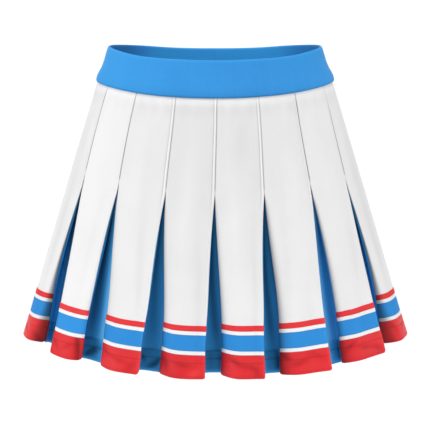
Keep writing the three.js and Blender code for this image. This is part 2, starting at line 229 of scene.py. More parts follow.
# Each seam's stitches give a little at their foot. So it opens as a thin slit this much further up.
SLITS = np.array([4, 4, 9, 8, 8, 8, 8, 6, 4, 4, 9, 8, 8, 13, 9, 6], float)
SLIT_SLOPE = 0.06           # how fast it widens on the way down
SLIT_WIDEST = 0.9           # half its gap where it goes over into the pleat's own opening

# Cloth never hangs quite even. In millimetres: how much a face's left and right edge draw in beside the
# stripes, and how much lower the stripes lie at its left and its right side.
PULLS = named_rows("left_in right_in left_low right_low", [
    (0.0, 2.0, -0.8, 0.9), (-1.4, -0.8, 1.9, 1.0), (0.0, 0.5, 0.0, 0.6), (-2.6, 0.0, -1.2, 1.2),
    (0.8, -0.6, 0.8, -0.6), (-0.5, 1.0, -0.6, 0.8), (0.6, 0.4, 0.9, -0.5), (0.0, -0.8, -0.7, 0.7),
    (-0.6, 0.8, 0.9, -0.8), (0.8, 0.4, -0.9, 0.4), (0.5, -0.5, 0.6, -1.0), (-0.8, 0.9, -0.4, 1.1),
    (0.0, -4.2, 1.2, -3.4), (0.6, 1.1, 0.0, -0.6), (-1.1, 2.4, -1.1, -0.4), (-0.4, 1.9, -1.1, 0.0),
])
PULL_LEVEL = 262.0          # half way down the stripes, where both are strongest
PULL_REACH = 30.0           # how far up and down the edges are drawn in
HANG_REACH = 42.0           # and how far the stripes' own shift reaches

ROLL_REACH = 0.5            # share of a face's width over which its edge rolls back
FACE_SET = 0.7              # the middle of the face's cloth lies this far inside the ring


def opened(seam, along):
    """How far a pleat has opened: 0 where it is stitched, then evenly to 1 at the hem."""
    return ramp(along, SEAMS["stitched"][seam % PLEATS], CLOTH_LENGTH)


def slit_top(seam):
    """Where a seam's slit begins, a little above the foot of its stitches."""
    return SEAMS["stitched"][seam % PLEATS] - SLITS[seam % PLEATS]


def wander(seam, along):
    """How far a seam has wandered at a place along the cloth: the curve of degree four through its row."""
    return wander_curves[seam % PLEATS](along)


def slit(seam, along):
    """Half the gap of a seam near the foot of its stitches: a straight line up to its widest."""
    return np.clip(SLIT_SLOPE * (along - slit_top(seam)), SEAM_GAP / 2, SLIT_WIDEST)


def face_path(k, u, along):
    """Across and depth of a face's middle. Its edges leave the seams as a quarter sine, draw in beside the
    stripes by a bell, and each rolls back by a parabola over half the face, which grows with the square of
    the opening."""
    face = FACES[k]
    left, right = opened(k, along), opened(k + 1, along)
    pull = bell(along - PULL_LEVEL, PULL_REACH)
    left_gap = face["left_gap"] * np.sin(left * np.pi / 2) + PULLS["left_in"][k] * pull
    right_gap = face["right_gap"] * np.sin(right * np.pi / 2) + PULLS["right_in"][k] * pull
    left_gap = np.maximum(slit(k, along), left_gap)
    right_gap = np.maximum(slit(k + 1, along), right_gap)
    start = wander(k, along) + left_gap
    end = cloth_round(along) / PLEATS + wander(k + 1, along) - right_gap
    across = start + u * (end - start)
    left_roll = face["left_roll"] * left ** 2 * np.maximum(0, 1 - u / ROLL_REACH) ** 2
    right_roll = face["right_roll"] * right ** 2 * np.maximum(0, 1 - (1 - u) / ROLL_REACH) ** 2
    return across, -FACE_SET - left_roll - right_roll


def face_width(k, along):
    """Width of a face, from edge to edge along the ring."""
    return face_path(k, 1.0, along)[0] - face_path(k, 0.0, along)[0]


print("face widths at the hem:", np.round([face_width(k, CLOTH_LENGTH) for k in range(PLEATS)]).tolist())


# %% [markdown]
# ## Creases placed one by one
#
# Knit cloth this firm hangs almost flat, so its creases are few and shallow, but without them it looks like
# card. Each one is a soft bell: narrow across and long the other way, turned by a few degrees, and
# negative where it is a trough. The back gets the front's creases turned round and moved.

# %% Creases
CREASE = "pleat across along turn half_length half_width height"

FACE_CREASES = named_rows(CREASE, [
    (12, 26, 180, 0, 90, 8, -0.9), (12, 38, 60, 3, 30, 5, 0.3),
    (13, 31, 170, -4, 80, 7, -0.8), (13, 12, 62, 2, 40, 6, 0.4), (13, 40, 235, 3, 40, 4, 0.4),
    (14, 34, 200, 4, 70, 5, -0.7), (14, 14, 92, -3, 52, 8, 0.5), (14, 8, 230, 0, 40, 4, -0.4),
    (15, 37, 215, 2, 60, 4, -0.6), (15, 20, 112, -3, 70, 9, 0.5), (15, 11, 245, -4, 30, 5, 0.4),
    (0, 38, 200, 0, 90, 3.5, -0.5), (0, 17, 130, 3, 60, 7, 0.4), (0, 26, 46, -5, 26, 7, -0.4),
    (1, 12, 210, -3, 70, 5, -0.5), (1, 30, 120, 3, 60, 8, 0.5), (1, 36, 236, 5, 30, 4, -0.4),
    (2, 34, 190, -3, 80, 6, -0.7), (2, 16, 82, 4, 50, 7, 0.4), (2, 10, 240, 0, 34, 4, -0.5),
    (3, 22, 180, 0, 90, 8, -0.8), (3, 9, 70, -3, 34, 5, 0.3),
])

BAND_PUCKERS = named_rows(CREASE, [
    (0, 6, 10, 14, 9, 3.0, -0.42), (0, 13, 16, -8, 12, 4.0, 0.34), (0, 21, 12, 6, 10, 3.6, -0.50),
    (0, 30, 9, -16, 8, 3.2, 0.30), (0, 37, 14, 10, 11, 3.8, -0.44),
])

BACK_ALONG = 0.97           # how much further up a crease lies at the back, and how much lower it is
BACK_HEIGHT = 0.9


def creases(table, k, across, along):
    """Sum of the creases of pleat k at a place, each the product of two bells along its own turned axes."""
    height = np.zeros(np.broadcast(across, along).shape)
    for row in table[table["pleat"] == k]:
        turn = math.radians(row["turn"])
        x, y = across - row["across"], along - row["along"]
        lengthways = x * math.sin(turn) + y * math.cos(turn)
        sideways = x * math.cos(turn) - y * math.sin(turn)
        height += row["height"] * bell(lengthways, row["half_length"]) * bell(sideways, row["half_width"])
    return height


def round_the_back(table, width):
    """The front's creases, and for each of them one on the far side, turned round and moved a little."""
    back = table.copy()
    back["pleat"] = (table["pleat"] + PLEATS // 2) % PLEATS
    back["across"] = width - table["across"]
    back["along"] = table["along"] * BACK_ALONG
    back["turn"] = -table["turn"]
    back["height"] = table["height"] * BACK_HEIGHT
    return np.concatenate([table, back])


FACE_NOMINAL = 46.0         # a face's usual width, for creases and stripes
all_face_creases = round_the_back(FACE_CREASES, FACE_NOMINAL)
print("face creases:", len(all_face_creases))

# %% Relief of a face
EDGE_STITCH = 2.3           # from a face's right edge to the stitching along it
STITCH_GROOVE = 2.6         # and to the middle of the groove beside the thread
GROOVE_HALF = 0.6
STRIP_HALF = 0.95           # half the width of the raised strip between the stitching and the edge
# Height of the ridge that this stitching holds up. Round the centre front and back it stands out most.
RIDGE = np.array([0.55, 0.12, 0.10, 0.15, 0.30, 0.35, 0.50, 0.45,
                  0.50, 0.15, 0.20, 0.30, 0.15, 0.12, 0.50, 0.55])
RIDGE_LEFT = 0.15           # share of it that is left once the pleat has opened by this much
RIDGE_ENDS = 0.12
LIP_DRAW = 0.6              # how far the band draws the cloth in at its edge
LIP_REACH = 2.6
EDGE_DROP = 0.55            # how far a face's pressed edge falls back
EDGE_ROUND = 0.7
FACE_FOLD = 1.4             # the creases' heights in the tables are multiplied by these
PUCKER = 1.2
PUCKER_MOVE = 17.0          # from each face to the next its puckers move across by this, within this width
PUCKER_WIDTH = 44.0


def puckers(k, across, along):
    """The same few puckers under the band on each face, moved across from face to face."""
    moved = BAND_PUCKERS.copy()
    moved["across"] = (moved["across"] + PUCKER_MOVE * k) % PUCKER_WIDTH
    return PUCKER * creases(moved, 0, across, along)


def face_relief(k, u, along):
    """Creases, a stitched edge strip down the right side, puckers under the band, and the cloth drawn in
    where the band holds it."""
    across, from_right = u * FACE_NOMINAL, (1 - u) * FACE_NOMINAL
    closed = 1 - (1 - RIDGE_LEFT) * ramp(opened(k + 1, along), 0, RIDGE_ENDS)
    groove = -(0.10 + 0.5 * RIDGE[k]) * closed * bell(from_right - STITCH_GROOVE, GROOVE_HALF)
    strip = RIDGE[k] * closed * bell(from_right - EDGE_STITCH / 2, STRIP_HALF, 3)
    drawn = -LIP_DRAW * bell(np.maximum(along, 0), LIP_REACH)
    rounded = -EDGE_DROP * (bell(across, EDGE_ROUND) + bell(from_right, EDGE_ROUND))
    folds = FACE_FOLD * creases(all_face_creases, k, across, along) + puckers(k, across, along)
    return folds + groove + strip + drawn + rounded


def face_point(k, u, across, depth, along):
    """A point of a face's cloth. The face hangs a little lower or higher than even round its stripes, mixed
    from its left to its right side and fading as a bell along the cloth."""
    point = cloth_point(k, across, depth, 0, along)
    low = PULLS["left_low"][k] * (1 - u) + PULLS["right_low"][k] * u
    point[..., 2] -= low * bell(along - PULL_LEVEL, HANG_REACH)
    return point


def face_middle(k, u, along):
    """Middle of a face's cloth in millimetres, with its relief."""
    u, along = np.broadcast_arrays(u, along)
    across, depth = face_path(k, u, along)
    return face_point(k, u, across, depth + face_relief(k, u, along), along)


# %% [markdown]
# ## Shade painted into the cloth's colour
#
# A rolled edge turns from the light, and in a seam's groove the cloth shades itself. Wide, soft lamps
# alone leave both too pale. Harder lamps would darken them, and the rest of the skirt too. So their shade
# is also part of the colour, as it would be in a painted toy, and it is the same from all sides.

# %% Shade on the faces
# For each face: how dark its left edge is, how far that reaches in at the hem and how it grows on the way
# down, the same three for its right edge, where less than 0 is a light border, and the whole face's level.
FACE_SHADES = named_rows("left left_reach left_growth right right_reach right_growth level", [
    (0.66, 3.4, 0.5, -0.30, 1.2, 0.5, 0.04), (0.90, 4.8, 0.5, -0.30, 1.2, 0.5, 0.00),
    (0.80, 3.9, 0.5, -0.25, 1.2, 0.5, -0.04), (1.05, 12.0, 2.5, 0.10, 2.0, 0.5, 0.00),
    (0.60, 5.0, 0.5, 0.30, 4.0, 0.5, 0.00), (0.50, 5.0, 0.5, 0.40, 4.0, 0.5, 0.00),
    (0.40, 4.0, 0.5, 0.50, 5.0, 0.5, 0.00), (0.40, 3.5, 0.5, 0.60, 6.0, 0.5, 0.00),
    (-0.30, 1.5, 0.5, 0.60, 3.4, 0.5, 0.02), (-0.30, 1.5, 0.5, 0.80, 4.4, 0.5, 0.00),
    (0.12, 2.0, 0.5, 0.70, 3.9, 0.5, 0.00), (0.10, 2.0, 0.5, 0.95, 12.0, 2.5, 0.00),
    (0.10, 2.0, 0.5, 1.10, 12.5, 2.5, 0.00), (0.35, 4.0, 0.5, 0.10, 2.0, 0.5, -0.16),
    (0.45, 4.0, 0.5, -0.30, 1.2, 0.5, 0.00), (0.72, 3.0, 0.5, -0.30, 1.2, 0.5, 0.07),
])
SHADE_BEGINS = 0.10         # the edges' shade is full once the pleat has opened by this much
SEAM_SHADE = 0.95           # a seam without a raised strip beside it looks darkest
SEAM_SHADE_REACH = 0.52
SEAM_SHADE_ENDS = 3.0       # its dark line goes on this far past the top of the slit, and fades over this
SEAM_SHADE_FADES = 4.0
RIDGE_SHADE = 0.7           # the stitching's groove is darker and the strip's crest lighter by this
STRIP_CREST = 1.3
TROUGH_SHADE = 0.10         # shade for each millimetre of a trough
# Bells of shade right across a face. It is light close under the band.
SHADE_ROWS = [(2, 5, -0.32), (13, 8, 0.05), (70, 55, 0.05), (236, 36, -0.05)]


def edge_shades(k, u, along, left_more=0.0):
    """Shade beside both edges: full at the edge, falling off over a reach that grows with the opening to a
    power. The higher that power, the more it looks like a shadow with an edge of its own."""
    total = 0.0
    for side, share, seam, more in (("left", u, k, left_more), ("right", 1 - u, k + 1, 0.0)):
        growth, opening = FACE_SHADES[side + "_growth"][k], opened(seam, along)
        reach = (FACE_SHADES[side + "_reach"][k] + more) * np.maximum(opening, 1e-3) ** growth
        fall = bell(np.maximum(share * FACE_NOMINAL, 0), reach, 1.1 + 0.5 * growth)
        total = total + FACE_SHADES[side][k] * fall * ramp(opening, 0, SHADE_BEGINS)
    return total


def seam_line(k, seam, distance, along):
    """The painted shade line of a closed seam: a bell from the edge, fainter beside a raised strip. It
    ends a little above the slit, where the two faces' edges lie flat and catch the light."""
    line = bell(distance, SEAM_SHADE_REACH) * (1.2 - RIDGE[k])
    return line * ramp(slit_top(seam) + SEAM_SHADE_ENDS - along, 0, SEAM_SHADE_FADES)


def face_shade(k, u, along):
    """How dark a place on a face is, from 0 to 1, and below 0 where it is lighter: both edges, the groove of
    the closed seam and of its stitching, the troughs of its creases, and light and grey under the band."""
    from_left, from_right = u * FACE_NOMINAL, (1 - u) * FACE_NOMINAL
    lines = seam_line(k - 1, k, from_left, along) + seam_line(k, k + 1, from_right, along)
    closed = 1 - ramp(opened(k + 1, along), 0, SHADE_BEGINS)
    ridge = bell(from_right - STITCH_GROOVE, GROOVE_HALF) - bell(from_right - STRIP_CREST, GROOVE_HALF)
    troughs = FACE_FOLD * creases(all_face_creases, k, from_left, along) + 0.5 * puckers(k, from_left, along)
    return (edge_shades(k, u, along) + SEAM_SHADE * lines + RIDGE_SHADE * RIDGE[k] * closed * ridge
            - TROUGH_SHADE * troughs + bells(along, SHADE_ROWS) + FACE_SHADES["level"][k])


# %% [markdown]
# ## From a sheet of points to cloth
#
# A sheet of points has no thickness. Cloth is that sheet moved half a thickness to both sides, closed all
# round by a rim. The Solidify modifier would do it too, with a square rim. Here the rim has one more line
# of points half way, so that it shades as a rounded edge, and the mesh is closed from the start.

# %% Normals and rims
def unit(vectors):
    """Each vector divided by its own length."""
    return vectors / np.maximum(np.linalg.norm(vectors, axis=-1, keepdims=True), 1e-12)


def sheet_normal(points, ring=False):
    """Outward direction at each point of a grid: the cross product of the way down and the way across."""
    if ring:
        across = np.roll(points, -1, axis=1) - np.roll(points, 1, axis=1)
    else:
        across = np.gradient(points, axis=1)
    return unit(np.cross(np.gradient(points, axis=0), across))


def rim_path(rows, columns):
    """Row and column of each point on a grid's edge, clockwise as seen from outside."""
    i = np.concatenate([np.zeros(columns - 1), np.arange(rows - 1), np.full(columns - 1, rows - 1),
                        np.arange(rows - 1, 0, -1)]).astype(int)
    j = np.concatenate([np.arange(columns - 1), np.full(rows - 1, columns - 1),
                        np.arange(columns - 1, 0, -1), np.zeros(rows - 1)]).astype(int)
    return i, j


def shell(points, thickness, ring=False):
    """Closed cloth from a grid of points: outer side, inner side, and a rim that passes through points half
    a thickness beyond the edge. Returns the points, the four-sided faces and each point's grid index."""
    rows, columns = points.shape[:2]
    normal = sheet_normal(points, ring)
    half = np.broadcast_to(np.asarray(thickness, float), (rows, columns))[..., None] / 2
    outer = (points + normal * half).reshape(-1, 3)
    inner = (points - normal * half).reshape(-1, 3)
    index = np.arange(rows * columns).reshape(rows, columns)
    count = rows * columns
    wrapped = np.hstack([index, index[:, :1]]) if ring else index
    a, b = wrapped[:-1, :-1].ravel(), wrapped[1:, :-1].ravel()
    c, d = wrapped[1:, 1:].ravel(), wrapped[:-1, 1:].ravel()
    quads = [np.stack([a, b, c, d], 1), np.stack([d, c, b, a], 1) + count]
    if ring:
        loops = [(np.zeros(columns, int), np.arange(columns)),
                 (np.full(columns, rows - 1), np.arange(columns)[::-1])]
    else:
        loops = [rim_path(rows, columns)]
    tips, sources, base = [], [], 2 * count
    for i, j in loops:
        inward_i = np.clip(i, 1, rows - 2)
        inward_j = j if ring else np.clip(j, 1, columns - 2)
        beyond = unit(points[i, j] - points[inward_i, inward_j])
        tips.append(points[i, j] + beyond * half[i, j])
        sources.append(index[i, j])
        edge, tip = index[i, j], base + np.arange(len(i))
        edge_next, tip_next = np.roll(edge, -1), np.roll(tip, -1)
        quads.append(np.stack([edge, edge_next, tip_next, tip], 1))
        quads.append(np.stack([tip, tip_next, edge_next + count, edge + count], 1))
        base += len(i)
    everything = np.concatenate([outer, inner, *tips])
    where = np.concatenate([index.ravel(), index.ravel(), *sources])
    return everything, np.concatenate(quads), where


# %% Put arrays into a mesh
shown = bpy.context.scene.collection


def cloth_object(name, points, quads, cloth, material):
    """A smooth mesh object from points in millimetres. The attribute called cloth holds each point's place
    on the flat cloth in metres, across and along, and its painted shade: up to 1 in a fold and less than 0
    where light is painted. The materials read it."""
    mesh = bpy.data.meshes.new(name)
    mesh.vertices.add(len(points))
    mesh.vertices.foreach_set("co", (points * MM).astype(np.float32).ravel())
    mesh.loops.add(quads.size)
    mesh.loops.foreach_set("vertex_index", quads.astype(np.int32).ravel())
    mesh.polygons.add(len(quads))
    mesh.polygons.foreach_set("loop_start", np.arange(0, quads.size, 4, dtype=np.int32))
    mesh.polygons.foreach_set("use_smooth", np.ones(len(quads), bool))
    mesh.update(calc_edges=True)
    place = (cloth * [MM, MM, 1]).astype(np.float32)
    mesh.attributes.new("cloth", "FLOAT_VECTOR", "POINT").data.foreach_set("vector", place.ravel())
    mesh.materials.append(material)
    made = bpy.data.objects.new(name, mesh)
    shown.objects.link(made)
    return made


def join_arrays(parts):
    """Several sets of points, faces and cloth places as one, with the faces' numbers moved up."""
    points, quads, cloth = zip(*parts)
    before = np.cumsum([0] + [len(part) for part in points[:-1]])
    moved = [part + base for part, base in zip(quads, before)]
    return np.concatenate(points), np.concatenate(moved), np.concatenate(cloth)


def cloth_part(points, thickness, across, along, shade=0.0, ring=False):
    """A closed shell with the place of each of its points on the flat cloth, and its shade."""
    made, quads, where = shell(points, thickness, ring)
    flat = np.stack([values.ravel() for values in np.broadcast_arrays(across, along, shade)], 1)
    return made, quads, flat[where]


# %% [markdown]
# ## Materials
#
# The photograph shows four textiles: a matt ribbed knit for the band, a firm smooth double knit for faces
# and insets, woven braid for the stripes, and a satin-faced knit for the red hems. Each is made from its
# flat cloth place, so that ribs and stitches follow the cloth round every fold. Image textures would do,
# but formulas have no seams and keep their real size.

# %% Colours and nodes
def linear(hex_colour):
    """An sRGB hex colour as linear red, green, blue and alpha 1, each channel through the sRGB curve."""
    channels = np.array([int(hex_colour[i:i + 2], 16) for i in (1, 3, 5)]) / 255
    curve = np.where(channels <= 0.04045, channels / 12.92, ((channels + 0.055) / 1.055) ** 2.4)
    return (*curve.tolist(), 1.0)


def add_node(tree, kind, inputs=None, **settings):
    """One shader node with its properties. Each input is linked to a socket, or to the first output that
    another node has in use, or else it is set to a value."""
    made = tree.nodes.new(kind)
    for name, value in settings.items():
        setattr(made, name, value)
    for name, value in (inputs or {}).items():
        if isinstance(value, bpy.types.Node):
            value = next(socket for socket in value.outputs if socket.enabled)
        if isinstance(value, bpy.types.NodeSocket):
            tree.links.new(value, made.inputs[name])
        else:
            made.inputs[name].default_value = value
    return made


MOTTLE_SIZE = 38.0          # millimetres between the broad noise's spots
FUZZ_SIZE = 3.2             # the fine noise stands for the fuzz, which is finer on the real cloth
STREAK_SIZE = (4.5, 55.0)   # across and along the cloth
# Painted shade in the grooves between ribs, as a share of the dark colour.
GROOVE_SHADE = 0.20          # how far the grooves between ribs go over to the dark colour
FUZZ_HEIGHT = 1.4           # as a share of the ribs' height
BUMP_STRENGTH = 0.35
ROUGHNESS_VARIES = 0.06


def textile(name, ribs, courses, depth, roughness, sheen, mottle, streak, light, dark, deep, lit):
    """A textile as ribs across and courses along, both sine waves of the flat cloth place. The grooves
    between ribs are painted a little darker, as their shade. A broad noise mottles the colour, one drawn
    out along the cloth gives it the faint streaks of a knit, and a fine one roughens the surface.
    With the cloth's painted shade the colour goes over to the deep one, below 0 to the painted light one."""
    material = bpy.data.materials.new(name)
    material.use_nodes = True
    tree = material.node_tree
    tree.nodes.clear()
    place = add_node(tree, "ShaderNodeAttribute", attribute_name="cloth").outputs["Vector"]
    parts = add_node(tree, "ShaderNodeSeparateXYZ", {0: place}).outputs
    waves = []
    for socket, pitch in (("X", ribs), ("Y", courses)):
        angle = add_node(tree, "ShaderNodeMath", {0: parts[socket], 1: 2 * math.pi / (pitch * MM)},
                         operation="MULTIPLY")
        waves.append(add_node(tree, "ShaderNodeMath", {0: angle}, operation="SINE"))
    relief = add_node(tree, "ShaderNodeMath", {0: waves[1], 1: 0.5, 2: waves[0]}, operation="MULTIPLY_ADD")
    broad, fine = (add_node(tree, "ShaderNodeTexNoise", {
        "Vector": add_node(tree, "ShaderNodeTexCoord").outputs["Object"],
        "Scale": 1 / (size * MM), "Detail": detail, "Roughness": rough})
        for size, detail, rough in ((MOTTLE_SIZE, 2.0, 0.5), (FUZZ_SIZE, 3.0, 0.6)))
    across, along = STREAK_SIZE
    drawn_out = add_node(tree, "ShaderNodeMapping", {
        "Vector": place, "Scale": (1 / (across * MM), 1 / (along * MM), 0.0)})
    streaks = add_node(tree, "ShaderNodeTexNoise", {"Vector": drawn_out, "Scale": 1.0, "Detail": 2.0})
    # Painted shade: the grooves between the ribs go over to the dark colour.
    groove = add_node(tree, "ShaderNodeMapRange", {
        "Value": relief, "From Min": -1.5, "From Max": 0.6, "To Min": GROOVE_SHADE, "To Max": 0.0})
    lines = add_node(tree, "ShaderNodeMath", {0: streaks, 1: streak, 2: groove}, operation="MULTIPLY_ADD")
    dark_share = add_node(tree, "ShaderNodeMath", {0: broad, 1: mottle, 2: lines}, operation="MULTIPLY_ADD")
    # Painted shade and light: the cloth attribute's third number mixes in the deep colour, and below 0 the
    # lit colour.
    lit_share = add_node(tree, "ShaderNodeMath", {0: parts["Z"], 1: -1.0}, operation="MULTIPLY")
    colour = linear(light)
    for share, other in ((dark_share, dark), (parts["Z"], deep), (lit_share, lit)):
        colour = add_node(tree, "ShaderNodeMix", {"Factor": share, "A": colour, "B": linear(other)},
                          data_type="RGBA")
    height = add_node(tree, "ShaderNodeMath", {0: fine, 1: FUZZ_HEIGHT, 2: relief}, operation="MULTIPLY_ADD")
    bump = add_node(tree, "ShaderNodeBump", {"Strength": BUMP_STRENGTH, "Distance": depth * MM,
                                             "Height": height})
    shine = add_node(tree, "ShaderNodeMapRange", {
        "Value": fine, "To Min": roughness - ROUGHNESS_VARIES, "To Max": roughness + ROUGHNESS_VARIES})
    cloth = add_node(tree, "ShaderNodeBsdfPrincipled", {
        "Base Color": colour, "Roughness": shine, "Normal": bump, "Sheen Weight": sheen,
        "Sheen Roughness": 0.45, "IOR": 1.45, "Specular IOR Level": 0.2})
    add_node(tree, "ShaderNodeOutputMaterial", {"Surface": cloth})
    return material


# %% The skirt's textiles
# In each line: the pitch of ribs and courses and their depth in mm; roughness, sheen, mottle and streaks;
# then the light and dark colour, the deep colour of painted shade and the lit colour of painted light. The
# double knit's wales are 0.8 mm apart on the real cloth, too fine to show from here, so they are drawn
# 1.3 mm apart.
# Ribbed polyester knit, matt: fine upright lines, 2.2 mm apart, that follow the ring.
band_knit = textile("ribbed polyester knit, matt, sky blue", 2.2, 1.1, 0.06, 0.82, 0.05, 0.32, 0.22,
                    "#3c96de", "#2279bc", "#12507e", "#44b8ff")
# Firm double knit, pressed: an even, matt white with hardly any grain.
white_knit = textile("firm double knit, smooth, white", 1.3, 1.0, 0.05, 0.80, 0.05, 0.32, 0.14,
                     "#ebeaea", "#d6d5d7", "#76787c", "#ffffff")
# The same knit dyed royal blue. Its painted shade inside so narrow a pleat is almost navy.
inset_knit = textile("firm double knit, smooth, royal blue", 1.3, 1.0, 0.06, 0.84, 0.0, 0.30, 0.20,
                     "#328bc9", "#2880b7", "#114468", "#60b8f2")
# Satin-faced knit, folded and pressed: smoother, so it shines a little; painted shade takes its dents to deep
# red.
red_satin = textile("satin-faced knit, folded hem, red", 1.3, 0.9, 0.05, 0.44, 0.0, 0.50, 0.20,
                    "#e8343a", "#c02228", "#580306", "#fb605b")
# Woven braid: ribs along its length, each with a thin line of light.
red_braid = textile("woven braid, ribbed, red", 0.9, 1.5, 0.10, 0.66, 0.0, 0.20, 0.20,
                    "#ea3b40", "#c6282e", "#66060a", "#ff5a58")
white_braid = textile("woven braid, ribbed, white", 0.9, 1.4, 0.10, 0.70, 0.10, 0.20, 0.20,
                      "#f1f2f4", "#dadcdf", "#76787c", "#ffffff")
blue_braid = textile("woven braid, fine ribbed, blue", 0.9, 1.4, 0.06, 0.70, 0.0, 0.20, 0.20,
                     "#318fd8", "#1f78c0", "#0e3c5c", "#48b0ff")
print("textiles:", len(bpy.data.materials))

# %% [markdown]
# ## The white faces
#
# Each face is one cut panel, a little wider at the hem than at the band. Its columns of points lie closer
# together at its edges, where the cloth is rounded and the stitched strip runs, than in its middle.

# %% Rows and columns
FACE_CLOTH = 0.9            # thickness of the double knit
FACE_FOOT_IN = 4.0          # the face goes this far down inside the folded hem band
FACE_FOOT = CLOTH_LENGTH - HEM_BAND + FACE_FOOT_IN


def columns_of(width, left, right, spacing):
    """Shares of a width: the given distances from both edges in millimetres, and even steps between."""
    inner = np.linspace(left[-1], width - right[-1], int((width - left[-1] - right[-1]) / spacing) + 1)
    return np.concatenate([left[:-1], inner, width - np.array(right[:-1])[::-1]]) / width


# The outermost points lie so near the seam that the rims of two faces close it.
face_columns = columns_of(FACE_NOMINAL, [0.12, 0.5, 1.0, 1.9, 3.2],
                          [0.12, 0.4, 0.7, 1.1, 1.5, 1.9, 2.3, 2.7, 3.2, 4.0], 2.0)
face_rows = np.concatenate([[-TUCK, -3.0], np.linspace(0, 8, 8), np.linspace(10, 100, 34)[:-1],
                            np.linspace(100, FACE_FOOT, 72)])
print("face grid:", len(face_rows), "by", len(face_columns))

# %% Cut and hang the faces
for k in range(PLEATS):
    u, along = np.meshgrid(face_columns, face_rows)
    points = face_middle(k, u, along)
    part = cloth_part(points, FACE_CLOTH, u * FACE_NOMINAL, along, face_shade(k, u, along))
    face = cloth_object(f"face_panel_{k + 1:02d}", *part, white_knit)
    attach(face, "root")
    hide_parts(f"white_face_{k + 1:02d}")
    widest = float(face_width(k, face_rows).max())
    flat = (widest * MM, (FACE_FOOT + TUCK) * MM)

# %% [markdown]
# ## Turned and folded hems
#
# A hem is cloth that goes down, round a small half circle and up again behind itself. So it is the same
# sheet with a second number, the lift off the face: it is outside on the way down and inside on the way up.

# %% Rows that turn at the hem
def turned_rows(down, bottom, outer_lift, radius, up_to, steps_up, steps_round=6):
    """Places along and lifts of rows that go down the outside, round a half circle and up the inside."""
    around = np.linspace(0, np.pi, steps_round + 1)[1:-1]
    up = np.linspace(bottom - radius, up_to, steps_up)
    along = np.concatenate([down, bottom - radius + radius * np.sin(around), up])
    lift = np.concatenate([np.full(len(down), outer_lift), outer_lift - radius + radius * np.cos(around),
                           np.full(len(up), outer_lift - 2 * radius)])
    return along, lift, travelled_along(along, lift)


# %% Relief of the red hem bands
# Dents beside the stitch line, where the folded band was pulled a little as it was sewn.
HEM_STITCH = CLOTH_LENGTH - 16.8
HEM_DENTS = named_rows(CREASE, [
    (12, 14, 284, 70, 9, 3.0, -0.5), (12, 36, 290, 40, 7, 4.0, -0.5),
    (13, 9, 285, 50, 8, 3.5, -0.5), (13, 29, 283, -60, 9, 3.0, -0.4), (13, 41, 284, 8, 22, 3.6, -1.2),
    (14, 7, 279, 60, 7, 3.0, -0.5), (14, 22, 284, 80, 11, 2.6, -0.4), (14, 37, 290, -40, 8, 4.0, -0.4),
    (15, 6, 284, 20, 8, 3.5, -0.6), (15, 25, 283, 82, 10, 2.8, -0.5), (15, 36, 291, -55, 8, 4.0, 0.4),
    (0, 14, 279, 55, 8, 3.2, -0.6), (0, 29, 284, 78, 10, 3.0, -0.5), (0, 38, 291, 30, 7, 4.0, -0.4),
    (1, 5, 277, 40, 6, 2.8, -0.6), (1, 17, 284, -70, 9, 3.0, -0.5), (1, 34, 279, 60, 9, 3.4, -0.4),
    (2, 9, 279, -50, 7, 3.0, -0.6), (2, 25, 285, 75, 11, 3.0, -0.5), (2, 39, 290, 45, 7, 3.6, -0.4),
    (3, 13, 280, 30, 9, 3.6, -0.6), (3, 31, 281, -65, 8, 3.0, -0.4),
])
all_hem_dents = round_the_back(HEM_DENTS, FACE_NOMINAL)
DENTS_FROM = 276.0          # a dent that is moved up past this on its way to the back is moved down again
DENTS_DOWN = 8.0
all_hem_dents["along"] += DENTS_DOWN * (all_hem_dents["along"] < DENTS_FROM)
DENT_DEPTH = 1.7            # the dents' heights in the table are multiplied by this
HEM_GROOVE = [(HEM_STITCH, 0.9, -0.30)]     # the stitches draw the band in


def hem_relief(k, u, along):
    """Dents, and a shallow groove that the stitches lie in."""
    below_face = ramp(along, FACE_FOOT - 1.0, FACE_FOOT + 3.0)
    dents = creases(all_hem_dents, k, u * FACE_NOMINAL, along)
    return DENT_DEPTH * below_face * dents + bells(along, HEM_GROOVE)


# %% Fold the red hem bands round the faces' lower edges
HEM_CLOTH = 0.75            # thickness of the satin-faced knit
HEM_LIFT = 0.85             # from the middle of the face to the middle of each layer of the band
HEM_OVERHANG = 0.6          # how far the band stands out past the face's edge
HEM_TOP = CLOTH_LENGTH - HEM_BAND
HEM_GIVE = 18.0             # length over which the rows make room for a rounded corner
overhang = HEM_OVERHANG / FACE_NOMINAL
corner_columns = [0.2, 0.5, 1.0, 1.6, 2.4, 3.4, 4.6]
hem_columns = columns_of(FACE_NOMINAL, corner_columns, corner_columns, 1.9)
hem_columns = -overhang + hem_columns * (1 + 2 * overhang)

# Width and height of each band's two rounded corners. The three at the wearer's right, and the ones
# across from them at the back, are turned in further.
HEM_CORNERS = named_rows("left_width left_height right_width right_height", [
    (2.6, 2.6, 2.0, 2.0), (2.4, 2.2, 2.4, 2.6), (2.0, 2.0, 2.6, 3.0), (2.4, 2.4, 3.0, 3.4),
    (2.6, 2.8, 3.2, 5.0), (2.2, 2.4, 3.6, 5.0), (2.4, 2.6, 2.6, 6.0), (2.6, 2.4, 2.0, 2.2),
    (2.4, 2.6, 2.2, 2.4), (2.0, 2.2, 2.4, 2.4), (2.4, 2.4, 3.0, 6.0), (3.0, 3.2, 2.6, 2.6),
    (4.0, 4.4, 3.2, 5.0), (3.0, 3.0, 4.6, 6.0), (3.0, 3.2, 2.6, 7.0), (2.4, 2.6, 2.0, 2.4),
])


def hem_surface(k, u, along, lift):
    """Middle of a layer of the hem band: the face's surface lifted, with the band's own relief."""
    u, along, lift = np.broadcast_arrays(u, along, lift)
    across, depth = face_path(k, u, along)
    ground = face_middle(k, u, along)
    outward = unit(ground - face_point(k, u, across, depth - 1.0, along))
    dents = hem_relief(k, u, along) * np.where(lift > 0, 1.0, 0.8)
    return ground + outward * (lift + dents)[..., None]


